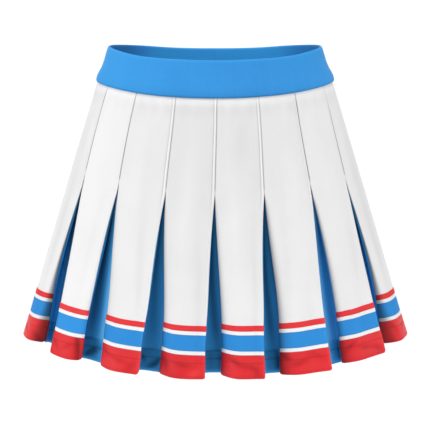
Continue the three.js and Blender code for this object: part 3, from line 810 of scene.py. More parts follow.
# Shade added to each hem band's colour, and less than 0 where it lies lighter.
HEM_LEVELS = [-0.04, -0.06, -0.06, -0.24, -0.16, -0.16, -0.16, -0.06,
              -0.06, -0.06, -0.16, -0.16, -0.16, -0.06, -0.08, 0.04]
HEM_EDGE_MORE = 1.4         # on the thicker band the left edge's shade reaches in further
HEM_EDGE_SHADE = 0.88
DENT_SHADE = 0.62
# Painted shade along the hem band's stitches and its lower fold.
HEM_SHADE_LINES = [(HEM_STITCH, 0.7, 0.12), (CLOTH_LENGTH - 2.6, 1.0, 0.12)]   # by the stitches and the fold


def hem_shade(k, u, along):
    """The face's shade goes on over the hem band, and its dents and stitch groove are painted dark."""
    dents = creases(all_hem_dents, k, u * FACE_NOMINAL, along)
    edges = HEM_EDGE_SHADE * edge_shades(k, u, along, HEM_EDGE_MORE)
    return edges - DENT_SHADE * dents + bells(along, HEM_SHADE_LINES) + HEM_LEVELS[k]


def hem_corner(k, u):
    """How far the hem's lower edge rises at a place across it: a quarter of an oval at each corner."""
    rises = []
    for side, distance in (("left", (u + overhang)), ("right", (1 + overhang - u))):
        width, height = HEM_CORNERS[k][side + "_width"], HEM_CORNERS[k][side + "_height"]
        inward = np.clip(1 - distance * FACE_NOMINAL / width, 0, 1)
        rises.append(height * (1 - np.sqrt(1 - inward ** 2)))
    return rises[0] + rises[1]


hem_down = np.concatenate([HEM_TOP + np.array([0.4, 0.8, 1.6, 2.8]), np.linspace(HEM_TOP + 4.2, 295.4, 15)])
hem_along, hem_lift, hem_travel = turned_rows(hem_down, CLOTH_LENGTH - HEM_CLOTH / 2, HEM_LIFT, HEM_LIFT,
                                              HEM_TOP + 1.0, steps_up=8)
for k in range(PLEATS):
    u, along = np.meshgrid(hem_columns, hem_along)
    along = along - hem_corner(k, u) * ramp(along, CLOTH_LENGTH - HEM_GIVE, CLOTH_LENGTH)
    lift = np.broadcast_to(hem_lift[:, None], u.shape)
    points = hem_surface(k, u, along, lift)
    part = cloth_part(points, HEM_CLOTH, u * FACE_NOMINAL, hem_travel[:, None], hem_shade(k, u, along))
    hem = cloth_object(f"hem_fold_{k + 1:02d}", *part, red_satin)
    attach(hem, "root")
    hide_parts(f"hem_band_{k + 1:02d}")
    flat = (float(face_width(k, CLOTH_LENGTH) + 2 * HEM_OVERHANG + 4) * MM, float(hem_travel[-1] + 1) * MM)
print("hem bands:", PLEATS, "last one's cut:", np.round(flat, 4).tolist())

# %% [markdown]
# ## Braid stripes
#
# Above each hem band lie a red, a white, a blue and another white stripe of woven braid, sewn flat on the
# face. They could be only colour, but braid stands half a millimetre proud, has ribs that run along it and
# rounded edges, and these catch the light. Stripes of one colour are joined into one piece.

# %% Stripes on the faces
STRIPES = [
    ("red_braid_stripes", red_braid, "red_cloth", [(240.4, 246.5)], 4, 0.09),
    ("white_braid_stripes", white_braid, "white_cloth", [(246.5, 250.7), (267.5, 271.7)], 3, 0.08),
    ("blue_braid_stripes", blue_braid, "waistband_knit", [(250.7, 267.5)], 11, 0.04),
]
BRAID_CLOTH = 0.5           # thickness of the braid
BRAID_LIFT = FACE_CLOTH / 2 + BRAID_CLOTH / 2
BRAID_WRAP = 0.35           # how far a stripe reaches past the face's edge
braid_columns = columns_of(FACE_NOMINAL, [0.25, 0.7, 1.6, 3.2], [0.25, 0.7, 1.3, 2.1, 3.0, 4.0], 2.2)
braid_columns = braid_columns * (1 + 2 * BRAID_WRAP / FACE_NOMINAL) - BRAID_WRAP / FACE_NOMINAL


def stripe_part(k, top, bottom, ribs, rib_height):
    """One stripe: the face's surface lifted by half its cloth and half the braid, plus ribs as a cosine
    along the stripe's depth."""
    rows = np.linspace(top + 0.3, bottom - 0.3, 5 * ribs + 1)
    u, along = np.meshgrid(braid_columns, rows)
    ground = face_middle(k, u, along)
    rib = rib_height * np.cos((along - top) / (bottom - top) * ribs * 2 * np.pi + np.pi)
    points = ground + sheet_normal(ground) * (BRAID_LIFT + rib)[..., None]
    # The face's painted shade goes on over the stripe, a little weaker.
    return cloth_part(points, BRAID_CLOTH, u * FACE_NOMINAL, along, 0.9 * face_shade(k, u, along))


for name, material, slot, spans, ribs, rib_height in STRIPES:
    parts = [stripe_part(k, top, bottom, ribs, rib_height) for k in range(PLEATS) for top, bottom in spans]
    stripes = cloth_object(name, *join_arrays(parts), material)
    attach(stripes, "root")
    print(name, "faces:", len(stripes.data.polygons))

# %% [markdown]
# ## The blue insets
#
# An inset is one panel that fills the pleat behind a seam. Where the pleat is stitched it lies folded flat
# in two layers behind the faces. Lower down it opens into a soft valley from one face's edge to the next.
# The two shapes are mixed along the cloth, and its lower edge is turned up and stitched.

# %% The pressed pleat
PLEAT_UNDER = 15.5          # how far the pressed pleat goes to each side of its seam
FIRST_LAYER = -2.3          # depth of the layer next to the faces, and from it to the second one
LAYER_STEP = -1.5
pressed_at = np.array([0, 0.12, 0.24, 0.28, 0.39, 0.5, 0.61, 0.72, 0.76, 0.88, 1])
pressed_across = np.array([0, -0.5, -1, -1, -0.5, 0, 0.5, 1, 1, 0.5, 0])
pressed_layer = np.array([0, 0, 0, 1, 1, 1, 1, 1, 0, 0, 0])
FOLD_SOFTNESS = 9           # steps of the fine path over which a sharp fold is averaged


def softened(share, values, softness=FOLD_SOFTNESS):
    """A line through the given values, averaged over a short stretch so that its corners are rounded."""
    fine = np.linspace(0, 1, 401)
    line = np.interp(fine, share, values)
    padded = np.concatenate([np.full(softness, line[0]), line, np.full(softness, line[-1])])
    kernel = np.hanning(2 * softness + 3)[1:-1]
    smooth = np.convolve(padded, kernel / kernel.sum(), mode="valid")
    return lambda s: np.interp(s, fine, smooth)


pressed_x = softened(pressed_at, pressed_across * PLEAT_UNDER)
pressed_y = softened(pressed_at, FIRST_LAYER + LAYER_STEP * pressed_layer)

# %% Relief of an inset
INSET_NOMINAL = 62.0        # width of an inset's cloth
INSET_HEM = 22.8            # depth of its turned hem
INSET_STITCH = 7.7          # its stitch line lies this far below the hem's upper edge
INSET_CALM = 4.0            # no crease bends the fold itself
INSET_STEP = 0.75           # the turned-up cloth lifts the hem by this
INSET_GROOVES = [(-1.3, 1.0, -0.60), (INSET_STITCH, 0.9, -0.50)]    # above the step and along the stitches
INSET_CREASES = named_rows(CREASE, [
    (0, 24, 210, 2, 70, 3.5, -0.8), (0, 38, 190, -3, 60, 4.0, 0.9), (0, 45, 285, 60, 8, 3.0, -1.0),
    (1, 22, 205, -2, 80, 4.0, 0.8), (1, 40, 287, 4, 14, 3.5, -1.2), (1, 30, 180, 3, 60, 3.5, -0.7),
    (2, 26, 200, 3, 80, 4.0, 0.9), (2, 42, 286, 0, 16, 3.0, -1.2), (2, 35, 150, -2, 50, 3.5, -0.6),
    (3, 30, 190, -3, 70, 4.0, -0.9), (3, 22, 284, 20, 12, 3.0, -0.9),
    (12, 30, 200, 3, 80, 4.0, 0.9), (12, 40, 286, -10, 12, 3.5, -0.9),
    (13, 34, 185, -3, 80, 3.5, 1.0), (13, 24, 225, 2, 60, 3.0, -0.8), (13, 40, 287, 30, 10, 3.0, -0.9),
    (14, 26, 205, 4, 70, 3.5, -0.9), (14, 38, 180, -2, 70, 4.0, 0.8), (14, 28, 287, -58, 14, 3.6, -1.5),
    (14, 43, 292, -30, 8, 3.4, -1.0),
    (15, 24, 200, -3, 80, 4.0, -0.8), (15, 38, 215, 3, 60, 3.5, 0.8), (15, 36, 288, -52, 13, 3.4, -1.5),
    (15, 20, 282, 40, 6, 2.6, -0.9),
])
all_inset_creases = round_the_back(INSET_CREASES, INSET_NOMINAL)
HEM_CREASES_FROM = 270.0    # creases further down than this belong to the turned hem


def inset_folds(k, s, along, bottom):
    """The creases of an inset. Those of its hem move with its lower edge."""
    moved = all_inset_creases.copy()
    moved["along"] += (bottom - CLOTH_LENGTH) * (moved["along"] > HEM_CREASES_FROM)
    return creases(moved, k, s * INSET_NOMINAL, along)


def inset_relief(k, s, along, bottom):
    """Soft folds down the inset, wrinkles in its hem, the hem's upper edge as a small step out with a
    groove over it, and the groove of its stitch line. All of it fades out where the pleat is stitched."""
    top = bottom - INSET_HEM
    step = INSET_STEP * soft_step(along - top, 0.35)
    calm = 1 - bell(np.maximum(bottom - along, 0), INSET_CALM)
    fade = opened(k, along) * np.sin(s * np.pi) ** 0.5 * calm
    return inset_folds(k, s, along, bottom) * fade + step + bells(along - top, INSET_GROOVES)


# %% [markdown]
# ## Shade inside a fold
#
# What is seen between two faces is a narrow part of the inset, a valley that the lamps hardly reach. Its
# shade, too, is drawn in its colour. An ambient occlusion node could find it by itself, but it would be slow,
# and it is lost on export. So each fold has its own row of numbers, as each fold's shadow is its own.

# %% Shade inside the folds
# For each inset: its middle as a share of the cloth's width, how that drifts down to the hem, and the width
# that is seen; then where its dark line lies in that part, how it drifts, its half width and strength;
# light along the left and right edge and its reach; the level.
FOLD_SHADES = named_rows("middle drift width dark_at dark_drift dark_half dark "
                         "left left_reach right right_reach level", [
    (0.490, 0.00, 0.35, 0.12, 0.85, 0.28, 0.70, 0.00, 0.10, 0.35, 0.20, 0.00),
    (0.515, 0.00, 0.38, 0.05, 0.75, 0.25, 0.66, 0.15, 0.12, -0.15, 0.10, 0.00),
    (0.580, 0.01, 0.42, 0.32, 0.35, 0.28, 0.42, 1.00, 0.24, 0.00, 0.10, -0.55),
    (0.600, 0.28, 0.45, 0.30, 0.20, 0.30, 0.35, 0.20, 0.30, 0.20, 0.30, -0.34),
    (0.560, 0.10, 0.40, 0.30, 0.30, 0.30, 0.40, 0.40, 0.20, 0.20, 0.20, -0.20),
    (0.520, 0.00, 0.38, 0.25, 0.45, 0.30, 0.50, 0.30, 0.20, 0.30, 0.20, -0.05),
    (0.500, 0.00, 0.38, 0.60, -0.20, 0.28, 0.55, 0.30, 0.20, 0.60, 0.25, -0.05),
    (0.480, 0.00, 0.38, 0.70, -0.30, 0.28, 0.50, 0.80, 0.25, 0.20, 0.20, 0.00),
    (0.500, 0.00, 0.36, 0.85, -0.70, 0.28, 0.58, 0.35, 0.20, 0.00, 0.10, 0.00),
    (0.485, 0.00, 0.38, 0.90, -0.70, 0.26, 0.58, -0.15, 0.10, 0.15, 0.12, 0.00),
    (0.460, 0.00, 0.40, 0.65, -0.30, 0.28, 0.40, 0.00, 0.10, 0.90, 0.22, -0.05),
    (0.480, 0.00, 0.38, 0.30, 0.35, 0.30, 0.50, 0.30, 0.20, 0.20, 0.20, -0.05),
    (0.440, -0.10, 0.40, 0.40, 0.30, 0.30, 0.45, 0.30, 0.20, 0.30, 0.20, -0.15),
    (0.390, -0.22, 0.45, 0.75, 0.10, 0.28, 0.40, 0.15, 0.30, 0.00, 0.10, -0.06),
    (0.440, 0.00, 0.47, 0.28, 0.15, 0.30, 0.72, 0.00, 0.10, 1.40, 0.33, 0.08),
    (0.475, 0.01, 0.40, 0.22, 0.45, 0.28, 0.45, 0.25, 0.12, 0.30, 0.20, -0.02),
])
FOLD_LEVEL = 0.50           # shade where a pleat begins to open, and how much less it is at the hem
FOLD_OPENS = 0.65
HEM_LEVEL = 0.41            # the hem turns towards the floor and lies in shade again
# Shares of the level, of the dark line and of the light that go on over the hem.
HEM_KEEPS_LEVEL, HEM_KEEPS_LINE, HEM_KEEPS_LIGHT = 0.5, 0.35, 0.55
LINE_FADES = (0.74, 0.86)   # between these openings the dark line loses half its strength
WRINKLE_SHADE = 0.45        # for each millimetre of a wrinkle in the hem
WRINKLE_CREST = 0.2         # a crest higher than this gets no lighter
# Painted shade under the inset hem's upper edge and along its stitches.
FOLD_SHADE_LINES = [(-0.6, 1.2, 0.40), (INSET_STITCH, 0.8, 0.20)]     # under the hem's upper edge and its stitches
FOLD_EDGE_LIT = 0.25        # its lower fold catches light from the floor
FOLD_EDGE_REACH = 2.6


def fold_shade(k, s, along, bottom):
    """Shade inside a pleat: a level that falls as it opens, a dark line as a soft bell, light at both edges,
    a dark step over the hem, its troughs and stitches, and a light lower fold."""
    row = FOLD_SHADES[k]
    opening = opened(k, along)
    span = row["width"] * opening * (2 - opening) + 0.02
    seen = 0.5 + (s - row["middle"] - row["drift"] * opening) / span
    line_at = row["dark_at"] + row["dark_drift"] * opening ** 2
    line = row["dark"] * bell(seen - line_at, row["dark_half"], 2.2)
    line = line * (1 - 0.5 * ramp(opening, *LINE_FADES))
    light = row["left"] * bell(seen, row["left_reach"]) + row["right"] * bell(1 - seen, row["right_reach"])
    top = bottom - INSET_HEM
    in_hem = soft_step(along - top, 0.5)
    above = row["level"] + FOLD_LEVEL - FOLD_OPENS * opening + line
    wrinkles = WRINKLE_SHADE * np.minimum(inset_folds(k, s, along, bottom), WRINKLE_CREST)
    within = HEM_LEVEL + HEM_KEEPS_LEVEL * row["level"] + HEM_KEEPS_LINE * line - wrinkles
    shade = above + (within - above) * in_hem - light * (1 - (1 - HEM_KEEPS_LIGHT) * in_hem)
    at_fold = bell(np.maximum(bottom - along, 0), FOLD_EDGE_REACH)
    return (shade + bells(along - top, FOLD_SHADE_LINES)) * (1 - at_fold) - FOLD_EDGE_LIT * at_fold


# %% The inset's sheet
INSET_CLOTH = 0.8           # thickness of the insets' knit
INSET_BELLY = 4.5           # how far the valley swells to both sides behind the faces
# How much higher the inset's hem lies at its left than in its middle, and lower at its right.
INSET_TILTS = np.array([1.4, 1.4, 1.2, 0.3, -0.8, 0.9, -1.2, 0.6, 1.3, -1.1, 0.8, -0.6, 1.0, 0.3, 0.6, 1.8])
TILT_STARTS = 225.0
FOLD_ROUNDNESS = 0.85       # a power of the sine: the lower, the rounder the valley's floor
EDGE_STEP = 0.03            # share of a face's width from which its edge's direction is taken
HEM_SEAT_START = 225.0      # from here down the inset makes room for the thicker hem band
HEM_SEAT = 0.4
SEWN_GAP = 0.15             # between the face's cloth and the inset sewn behind it
SEWN_REACH = 0.1            # how far in from the face's edge the inset's own edge lies
SEWN_SHARE = 0.025          # share of the inset's width that is held by its seam


def inset_end(k, side, along):
    """Across and depth of the inset's edge: behind the face's edge, square to the face there, and further
    back where the thicker hem band comes."""
    edge = np.stack(face_path(k, float(side), along), -1)
    nearby = np.stack(face_path(k, EDGE_STEP if side == 0 else 1 - EDGE_STEP, along), -1)
    way = unit(nearby - edge)
    turn = 1 if side == 0 else -1
    back = np.stack([way[..., 1] * turn, -way[..., 0] * turn], -1)
    seat = HEM_SEAT * ramp(along, HEM_SEAT_START, HEM_TOP)
    behind = FACE_CLOTH / 2 + SEWN_GAP + INSET_CLOTH / 2 + seat
    return edge + back * behind[..., None] + way * SEWN_REACH


def inset_middle(k, s, along, bottom):
    """Middle of an inset's cloth. The valley runs between the faces' edges, deepest in the middle by a
    power of a sine, leaning to one side and bellied under the faces. It is mixed with the pressed pleat by
    how far the seam has opened, and fully at its two edges, where it is sewn to the faces."""
    s, along = np.broadcast_arrays(s, along)
    seam = SEAMS[k]
    start = inset_end(k - 1, 1, along)
    start[..., 0] -= cloth_round(along) / PLEATS
    end = inset_end(k, 0, along)
    angle = s * np.pi
    rise = np.sin(angle)
    fold = seam["fold"] * np.maximum(rise, 0) ** FOLD_ROUNDNESS
    valley = start + (end - start) * ((1 - np.cos(angle)) / 2)[..., None]
    across = valley[..., 0] + seam["lean"] * rise - INSET_BELLY * np.sin(2 * angle)
    depth = valley[..., 1] - fold
    opening = opened(k, along)
    sewn = np.minimum(bell(s, SEWN_SHARE) + bell(1 - s, SEWN_SHARE), 1)
    share = 1 - (1 - opening * (2 - opening)) * (1 - sewn)
    pressed = wander(k, along) + pressed_x(s)
    across = pressed + (across - pressed) * share
    depth = pressed_y(s) + (depth - pressed_y(s)) * share
    points = cloth_point(k, across, depth, fold * share, along)
    tilt = INSET_TILTS[k] * np.tanh((0.5 - s) / 0.2)
    points[..., 2] += tilt * ramp(along, TILT_STARTS, CLOTH_LENGTH)
    return points + sheet_normal(points) * inset_relief(k, s, along, bottom)[..., None]


# %% Fold and hang the insets
FOLD_RADIUS = 0.5           # of the half circle at the turned hem
INSET_TAKE_UP = 1.04        # cloth that the inset's relief takes up, as a share of its width
inset_columns = np.interp(np.linspace(0, 1, 46),
                          np.array([0, 4, 13, 19, 32, 38, 44, 57, 63, 72, 76]) / 76,
                          [0.004, 0.03, 0.22, 0.30, 0.45, 0.5, 0.55, 0.70, 0.78, 0.97, 0.996])
for k in range(PLEATS):
    bottom = CLOTH_LENGTH - SEAMS["short"][k]
    top = bottom - INSET_HEM
    down = np.concatenate([np.linspace(-TUCK, SEAMS["stitched"][k] - 4, 16),
                           np.linspace(SEAMS["stitched"][k], top - 4, 56),
                           top + np.array([-3, -2.2, -1.5, -0.9, -0.4, 0, 0.4, 0.9, 1.8, 3.4, 5.2]),
                           top + INSET_STITCH + np.array([-1.2, -0.5, 0.2, 0.9, 1.8]),
                           np.linspace(top + INSET_STITCH + 3.2, bottom - FOLD_RADIUS - 0.6, 8)])
    rows, lift, travelled = turned_rows(down, bottom, 0.0, FOLD_RADIUS, top + 0.6, steps_up=7)
    s, along = np.meshgrid(inset_columns, rows)
    ground = inset_middle(k, s, along, bottom)
    rising = np.maximum.accumulate(along + np.arange(len(rows))[:, None] * 1e-3)
    points = ground + sheet_normal(inset_middle(k, s, rising, bottom)) * lift[:, None, None]
    shade = fold_shade(k, s, along, bottom)
    part = cloth_part(points, INSET_CLOTH, s * INSET_NOMINAL, travelled[:, None], shade)
    inset = cloth_object(f"inset_panel_{k + 1:02d}", *part, inset_knit)
    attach(inset, "root")
    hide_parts(f"blue_inset_{k + 1:02d}")
    flat = (INSET_NOMINAL * INSET_TAKE_UP * MM, float(travelled[-1]) * MM)

# %% [markdown]
# ## The waistband
#
# One strip of ribbed knit, folded over lengthwise so that its fold is the rim, and joined into a ring at
# the centre back. Its two lower edges hold the top of the skirt between them. It is a profile, from the
# outer lower edge up over the rim and down inside, carried round the oval.

# %% The waistband's profile
BAND_CLOTH = 1.1            # thickness of each of its two layers
BAND_LOWER = 38.4           # its height, from the rim to its lower edges
RIM_SAG = 8.5               # how much lower the front and the back of the rim are than its sides
BAND_DROP = [0.0, 0.8, 8.6, 16.2, 23.6, 28.8, 31.8, 37.2, 38.4]
BAND_HALF_WIDTH = [117.1, 117.3, 119.8, 122.0, 124.9, 128.0, 129.6, 131.2, 131.3]
BAND_HALF_DEPTH = [85.4, 85.6, 87.5, 89.5, 91.6, 93.2, 93.8, 94.1, 94.1]
BAND_SOFTNESS = 30          # steps of the fine path over which the band's flare is averaged


def band_half(sizes):
    """Half the ring's width or depth as a function of the drop below the rim: a softened line."""
    line = softened(np.array(BAND_DROP) / BAND_LOWER, sizes, BAND_SOFTNESS)
    return lambda drop: line(ramp(drop, 0, BAND_LOWER))


band_place, band_round = ovals(np.linspace(0, BAND_LOWER, 40), band_half(BAND_HALF_WIDTH),
                               band_half(BAND_HALF_DEPTH))

# The profile as drops below the rim and depths in from the ring's oval: up the outside, over the rim, and
# down the inside, which steps in at its foot to leave room for the tops of the faces and the pleats.
outer_drop = np.concatenate([[38.1, 37.8, 37.3, 36.5, 35.4, 34.0], np.linspace(32.5, 3.2, 22), [2.2]])
outer_inset = np.concatenate([[1.9, 1.45, 1.1, 0.82, 0.66, 0.58], np.full(22, 0.55), [0.6]])
rim_drop = np.array([1.4, 0.85, 0.6, 0.55, 0.6, 0.85, 1.4])
rim_inset = np.array([0.72, 0.98, 1.25, 1.5, 1.75, 2.02, 2.28])
inner_drop = np.array([2.2, 4, 8, 12, 16, 20, 24, 26.8, 28.4, 29.8, 31.2, 33, 35.4, 37.6])
inner_inset = np.array([2.38, 2.4, 2.38, 2.3, 2.2, 2.15, 2.1, 2.1, 2.7, 4.0, 5.6, 6.3, 6.4, 6.4])
profile_drop = np.concatenate([outer_drop, rim_drop, inner_drop])[::-1]
profile_inset = np.concatenate([outer_inset, rim_inset, inner_inset])[::-1]
profile_travel = travelled_along(profile_drop, profile_inset)
print("waistband cloth from edge to edge:", round(profile_travel[-1], 1), "mm")

# %% Carry the profile round
JOIN_GAP = 0.35             # half the width left at the centre-back join
JOIN_RIDGE = 0.45           # and the height of the two edges pressed open there
JOIN_REACH = 0.9
BAND_WAVES = named_rows(CREASE, [
    (0, 60, 30, 0, 14, 16, 0.35), (0, 150, 33, 0, 12, 20, -0.35), (0, 262, 31, 0, 12, 18, 0.3),
    (0, 388, 32, 0, 12, 22, -0.35), (0, 505, 30, 0, 14, 18, 0.35), (0, 640, 33, 0, 12, 20, -0.3),
])
GAPE_BACK = 1.0             # the rim's back rises by this near the sides
GAPE_FRONT = 1.5            # and its front dips by this there and by the next one in the middle
GAPE_MIDDLE = 0.9
GAPE_DOWN = 14.0            # how far down the band the gape goes
# Steps of shade towards the left side, -1, and the right, 1: where they begin, softness and amount.
INSIDE_STEPS = [(-1, 84, 9, 1.4), (1, 86, 9, 1.2)]
FRONT_STEPS = [(-1, 66, 22, -0.24), (1, 74, 14, -0.12)]
# Painted light: the ring's inside is drawn lit, and the steps above paint both its sides darker.
INSIDE_LEVEL = -0.9         # the ring's inside is a light bowl between its two sides
LOWER_EDGE_SHADE = 0.55
RIM_LIGHT = 0.20


def rim_gape(x, y, drop):
    """How much higher the cloth lies where the rim gapes: bells along x for the sides and the middle, mixed
    from back to front by a soft step, and less and less down the band."""
    in_front = soft_step(-y, 12.5)
    at_sides = bell(np.abs(x) - 84, 30) * (GAPE_BACK - (GAPE_BACK + GAPE_FRONT) * in_front)
    return (at_sides - GAPE_MIDDLE * in_front * bell(x, 75, 4)) * np.exp(-drop / GAPE_DOWN)


def band_light(x, drop, is_outer):
    """Shade of the band: soft steps to both sides, inside and outside, a dark lower edge and a lit rim."""
    inside, front = (sum(amount * soft_step(side * x - begins, softness)
                         for side, begins, softness, amount in steps)
                     for steps in (INSIDE_STEPS, FRONT_STEPS))
    at_rim = bell(drop, 2.0)
    front = front + LOWER_EDGE_SHADE * bell(BAND_LOWER - drop, 1.5) - RIM_LIGHT * at_rim
    return np.where(is_outer, front, (INSIDE_LEVEL + inside) * (1 - 2 * RIM_LIGHT * at_rim))


length = float(band_round(BAND_LOWER / 2))
stations = 0.5 + np.concatenate([[JOIN_GAP, 1.2, 2.4], np.linspace(4.5, length - 4.5, 250),
                                 [length - 2.4, length - 1.2, length - JOIN_GAP]]) / length
share, drop = np.meshgrid(stations, profile_drop)
inset = np.broadcast_to(profile_inset[:, None], share.shape)
from_join = np.abs((share - 0.5) - np.round(share - 0.5)) * length
join = JOIN_RIDGE * bell(from_join, JOIN_REACH)
wave = creases(BAND_WAVES, 0, ((share - 0.5) % 1) * length, drop)
is_outer = np.arange(len(profile_drop))[:, None] >= len(inner_drop) + len(rim_drop) // 2
x, y, outward, sag = band_place(drop, share)
inset = inset + np.where(is_outer, join, -join) - wave
sag = (RIM_SAG + (SAG_AT_BAND - RIM_SAG) * drop / BAND_LOWER) * sag
z = RIM_Z - drop - sag + rim_gape(x, y, drop)
band_points = np.stack([x - outward[..., 0] * inset, y - outward[..., 1] * inset, z], -1)
part = cloth_part(band_points, BAND_CLOTH, (stations - 0.5) * length, profile_travel[:, None],
                  band_light(x, drop, is_outer), ring=True)
band = cloth_object("waistband_cloth", *part, band_knit)
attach(band, "root")
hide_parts("waistband")
band_flat = (float(band_round(BAND_LOWER)) * MM, float(profile_travel[-1]) * MM)
print("waistband cut:", np.round(band_flat, 4).tolist())

# %% [markdown]
# ## Stitches
#
# Thread shows at this distance as a row of small dents and bright dots. Each stitch is one small bead of
# thread, longer than wide and sunk at its ends, and all of one colour are one mesh, made at once from
# arrays: a bead's points times every stitch's place and directions.

# %% One stitch, many times
STITCH_LENGTH = 2.4         # of one bead of thread
STITCH_STEP = 3.1           # from one to the next
THREAD = 0.32               # thickness of the thread
BEAD_SIDES = 6
BEAD_RINGS = 5
BEAD_TAPER = 0.93           # 1 would end a bead in a point
BEAD_ARCH = 0.14            # how much higher its middle lies than its ends
SMALL_STEP = 0.004          # share of the width over which a surface's direction is taken


def bead():
    """Points and faces of one stitch: rings of a half circle's radius along x, its ends closed by tiny
    rings. z is off the cloth and falls towards the ends."""
    way = np.linspace(-1, 1, BEAD_RINGS)
    radius = THREAD / 2 * np.sqrt(np.maximum(1 - (way * BEAD_TAPER) ** 2, 0))
    turn = np.arange(BEAD_SIDES) / BEAD_SIDES * 2 * np.pi
    x = np.repeat(way * STITCH_LENGTH / 2, BEAD_SIDES)
    y = np.outer(radius, np.cos(turn)).ravel()
    z = np.outer(radius, np.sin(turn)).ravel() + np.repeat(BEAD_ARCH * (1 - way ** 2), BEAD_SIDES)
    ring = np.arange(BEAD_SIDES)
    following = (ring + 1) % BEAD_SIDES
    quads = [np.stack([ring, following, following + BEAD_SIDES, ring + BEAD_SIDES], 1) + BEAD_SIDES * r
             for r in range(BEAD_RINGS - 1)]
    last = BEAD_SIDES * (BEAD_RINGS - 1)
    caps = np.array([[3, 2, 1, 0], [5, 4, 3, 0]])
    return np.stack([x, y, z], 1), np.concatenate([*quads, caps, caps[:, ::-1] + last])


def stitch_row(surface, across, along, lift):
    """Stitches along a line on a surface. Places are evenly spaced on the line, and each stitch's own
    directions come from the surface a short step further along and across."""
    line = surface(across, along)
    travelled = travelled_along(*line.T)
    spots = np.arange(STITCH_STEP / 2, travelled[-1], STITCH_STEP)
    a, b = np.interp(spots, travelled, across), np.interp(spots, travelled, along)
    a_way = np.interp(spots + 0.5, travelled, across) - a
    b_way = np.interp(spots + 0.5, travelled, along) - b
    here = surface(a, b)
    forward = unit(surface(a + a_way, b + b_way) - here)
    aside = surface(a + SMALL_STEP, b) - here
    downwards = surface(a, b + 0.5) - here
    normal = unit(np.cross(downwards, aside))
    sideways = np.cross(normal, forward)
    points, quads = bead()
    placed = (here[:, None] + normal[:, None] * (lift + points[None, :, 2:3])
              + forward[:, None] * points[None, :, 0:1] + sideways[:, None] * points[None, :, 1:2])
    numbers = quads[None] + (np.arange(len(spots)) * len(points))[:, None, None]
    flat = np.tile(points * [1, 1, 0], (len(spots), 1))
    return placed.reshape(-1, 3), numbers.reshape(-1, 4), flat


# %% Sew
# Spun polyester thread: dull little beads, a bit darker than the cloth that they hold.
thread_white = textile("spun polyester thread, white", 0.6, 0.6, 0.03, 0.7, 0.1, 0.2, 0.1,
                       "#e4e4e6", "#c9c9cc", "#808184", "#ffffff")
thread_red = textile("spun polyester thread, red", 0.6, 0.6, 0.03, 0.65, 0.0, 0.2, 0.1,
                     "#b8282e", "#98181e", "#6c0d12", "#e04a4c")
thread_blue = textile("spun polyester thread, blue", 0.6, 0.6, 0.03, 0.65, 0.0, 0.2, 0.1,
                      "#1c5c96", "#164c80", "#0a3a5e", "#3c90d8")
THREAD_SINKS = 0.06         # how deep the beads lie in the cloth
SEWN_FROM, SEWN_TO = 4.0, 238.0     # the edge stitching runs from the band to the stripes


def face_edge_row(k):
    """Stitches down a face, beside its right edge, from the band to the stripes."""
    along = np.linspace(SEWN_FROM, SEWN_TO, 160)
    u = np.full_like(along, 1 - EDGE_STITCH / FACE_NOMINAL)
    return stitch_row(lambda a, b: face_middle(k, a, b), u, along, FACE_CLOTH / 2 - THREAD_SINKS)


def hem_row(k):
    """Stitches across a hem band."""
    u = np.linspace(0.03, 0.97, 60)
    along = np.full_like(u, HEM_STITCH)
    return stitch_row(lambda a, b: hem_surface(k, a, b, HEM_LIFT), u, along, HEM_CLOTH / 2 - THREAD_SINKS)


def inset_row(k):
    """Stitches across an inset's hem."""
    bottom = CLOTH_LENGTH - SEAMS["short"][k]
    s = np.linspace(0.05, 0.95, 80)
    along = np.full_like(s, bottom - INSET_HEM + INSET_STITCH)

    def surface(a, b):
        """The inset near one place, from a small grid round it."""
        rows = np.stack([b - 0.4, b, b + 0.4])
        return inset_middle(k, np.stack([a, a, a]), rows, bottom)[1]

    return stitch_row(surface, s, along, INSET_CLOTH / 2 - THREAD_SINKS)


SEWING = [
    ("edge_stitches", thread_white, "white_cloth", face_edge_row),
    ("hem_stitches", thread_red, "red_cloth", hem_row),
    ("inset_stitches", thread_blue, "blue_cloth", inset_row),
]
for name, material, slot, row in SEWING:
    parts = [row(k) for k in range(PLEATS)]
    stitches = cloth_object(name, *join_arrays(parts), material)
    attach(stitches, "root")
    print(name, "faces:", len(stitches.data.polygons))

# %% [markdown]
# ## Studio
#
# A white sweep and a white surround give the flat, even light of a product photograph. A high, soft lamp
# does most of the work, one at each side models the folds, and one behind the skirt lights its back. An
# image of a real studio could light it too, but these few lamps keep it the same from all sides.

# %% Floor and surround
FLOOR_Z = -1.05             # where a wearer's feet would be
floor_mesh = bpy.data.meshes.new("floor")
FLOOR_REACH = 60.0          # half the floor's side, in metres as its height is
corners = [(-1, -1), (1, -1), (1, 1), (-1, 1)]
floor_mesh.from_pydata([(x * FLOOR_REACH, y * FLOOR_REACH, FLOOR_Z) for x, y in corners], [], [(0, 1, 2, 3)])
floor = bpy.data.objects.new("floor", floor_mesh)
shown.objects.link(floor)
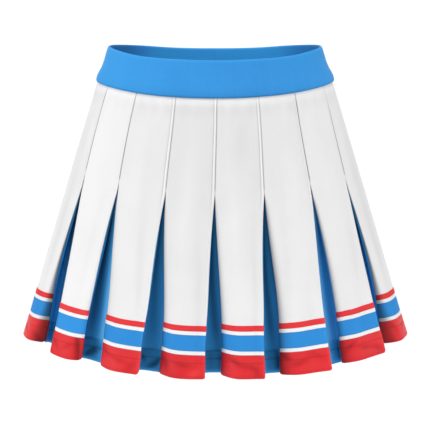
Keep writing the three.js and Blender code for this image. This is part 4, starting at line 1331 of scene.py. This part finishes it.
# Matt white paper has no shine, so the skirt's own soft shadow is all that shows on it.
paper = bpy.data.materials.new("white paper sweep, matt")
paper.use_nodes = True
paper_tree = paper.node_tree
paper_tree.nodes.clear()
paper_grain = add_node(paper_tree, "ShaderNodeTexNoise", {"Scale": 4.0, "Detail": 2.0})
paper_shine = add_node(paper_tree, "ShaderNodeMapRange", {
    "Value": paper_grain, "To Min": 0.9, "To Max": 1.0})
paper_shader = add_node(paper_tree, "ShaderNodeBsdfPrincipled", {
    "Base Color": linear("#fbfcfc"), "Roughness": paper_shine, "Specular IOR Level": 0.0})
add_node(paper_tree, "ShaderNodeOutputMaterial", {"Surface": paper_shader})
floor_mesh.materials.append(paper)
floor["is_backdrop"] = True

SURROUND = 0.16             # weak, so that the folds keep their shade
world = bpy.data.worlds.new("white surround")
bpy.context.scene.world = world
world.use_nodes = True
background = world.node_tree.nodes["Background"]
background.inputs["Color"].default_value = linear("#ffffff")
background.inputs["Strength"].default_value = SURROUND


# %% Lamps
def sun(name, strength, soft_degrees, azimuth, elevation):
    """A far lamp. Azimuth 0 is in front, and positive is to the right; it shines at the skirt."""
    lamp = bpy.data.lights.new(name, "SUN")
    lamp.energy = strength
    lamp.angle = math.radians(soft_degrees)
    made = bpy.data.objects.new(name, lamp)
    made.rotation_euler = (math.radians(90 - elevation), 0, math.radians(azimuth))
    shown.objects.link(made)
    return made


# Strength, then softness, azimuth and elevation in degrees.
sun("left lamp", 1.25, 30, -66, 24)
sun("right lamp", 1.05, 30, 66, 24)
sun("top lamp", 1.75, 40, -8, 68)
sun("back lamp", 1.5, 60, 180, 12)
print("lamps:", len(bpy.data.lights))

# %% [markdown]
# ## Camera
#
# The photograph was taken from about 1.85 m away and a little above the rim, with a long lens. These values
# were worked out from how the rim's oval, the hem and the seams fall in it.

# %% Camera
CAMERA_DISTANCE = 1.850     # metres
CAMERA_HEIGHT = 0.14695
CAMERA_LENS = 140.8
CAMERA_PITCH = 9.65         # degrees down
camera_data = bpy.data.cameras.new("camera")
camera_data.lens = CAMERA_LENS
camera_data.sensor_width = 36.0
camera = bpy.data.objects.new("camera", camera_data)
camera.location = (0, -CAMERA_DISTANCE, CAMERA_HEIGHT)
camera.rotation_euler = (math.radians(90 - CAMERA_PITCH), 0, 0)
shown.objects.link(camera)
bpy.context.scene.camera = camera
bpy.context.scene.view_settings.view_transform = "Standard"

# %% Sizes and finish
bpy.context.view_layer.update()
visual_box = [list(corner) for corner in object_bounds()]
grown = np.array(visual_box) - np.array(solid_box)
print("visual box minus solid box, mm:", np.round(grown / MM, 2).tolist())
triangles = {o.name: sum(len(p.vertices) - 2 for p in o.data.polygons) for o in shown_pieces()}
print("triangles:", sum(triangles.values()), "most:", max(triangles.values()), "pieces:", len(triangles))
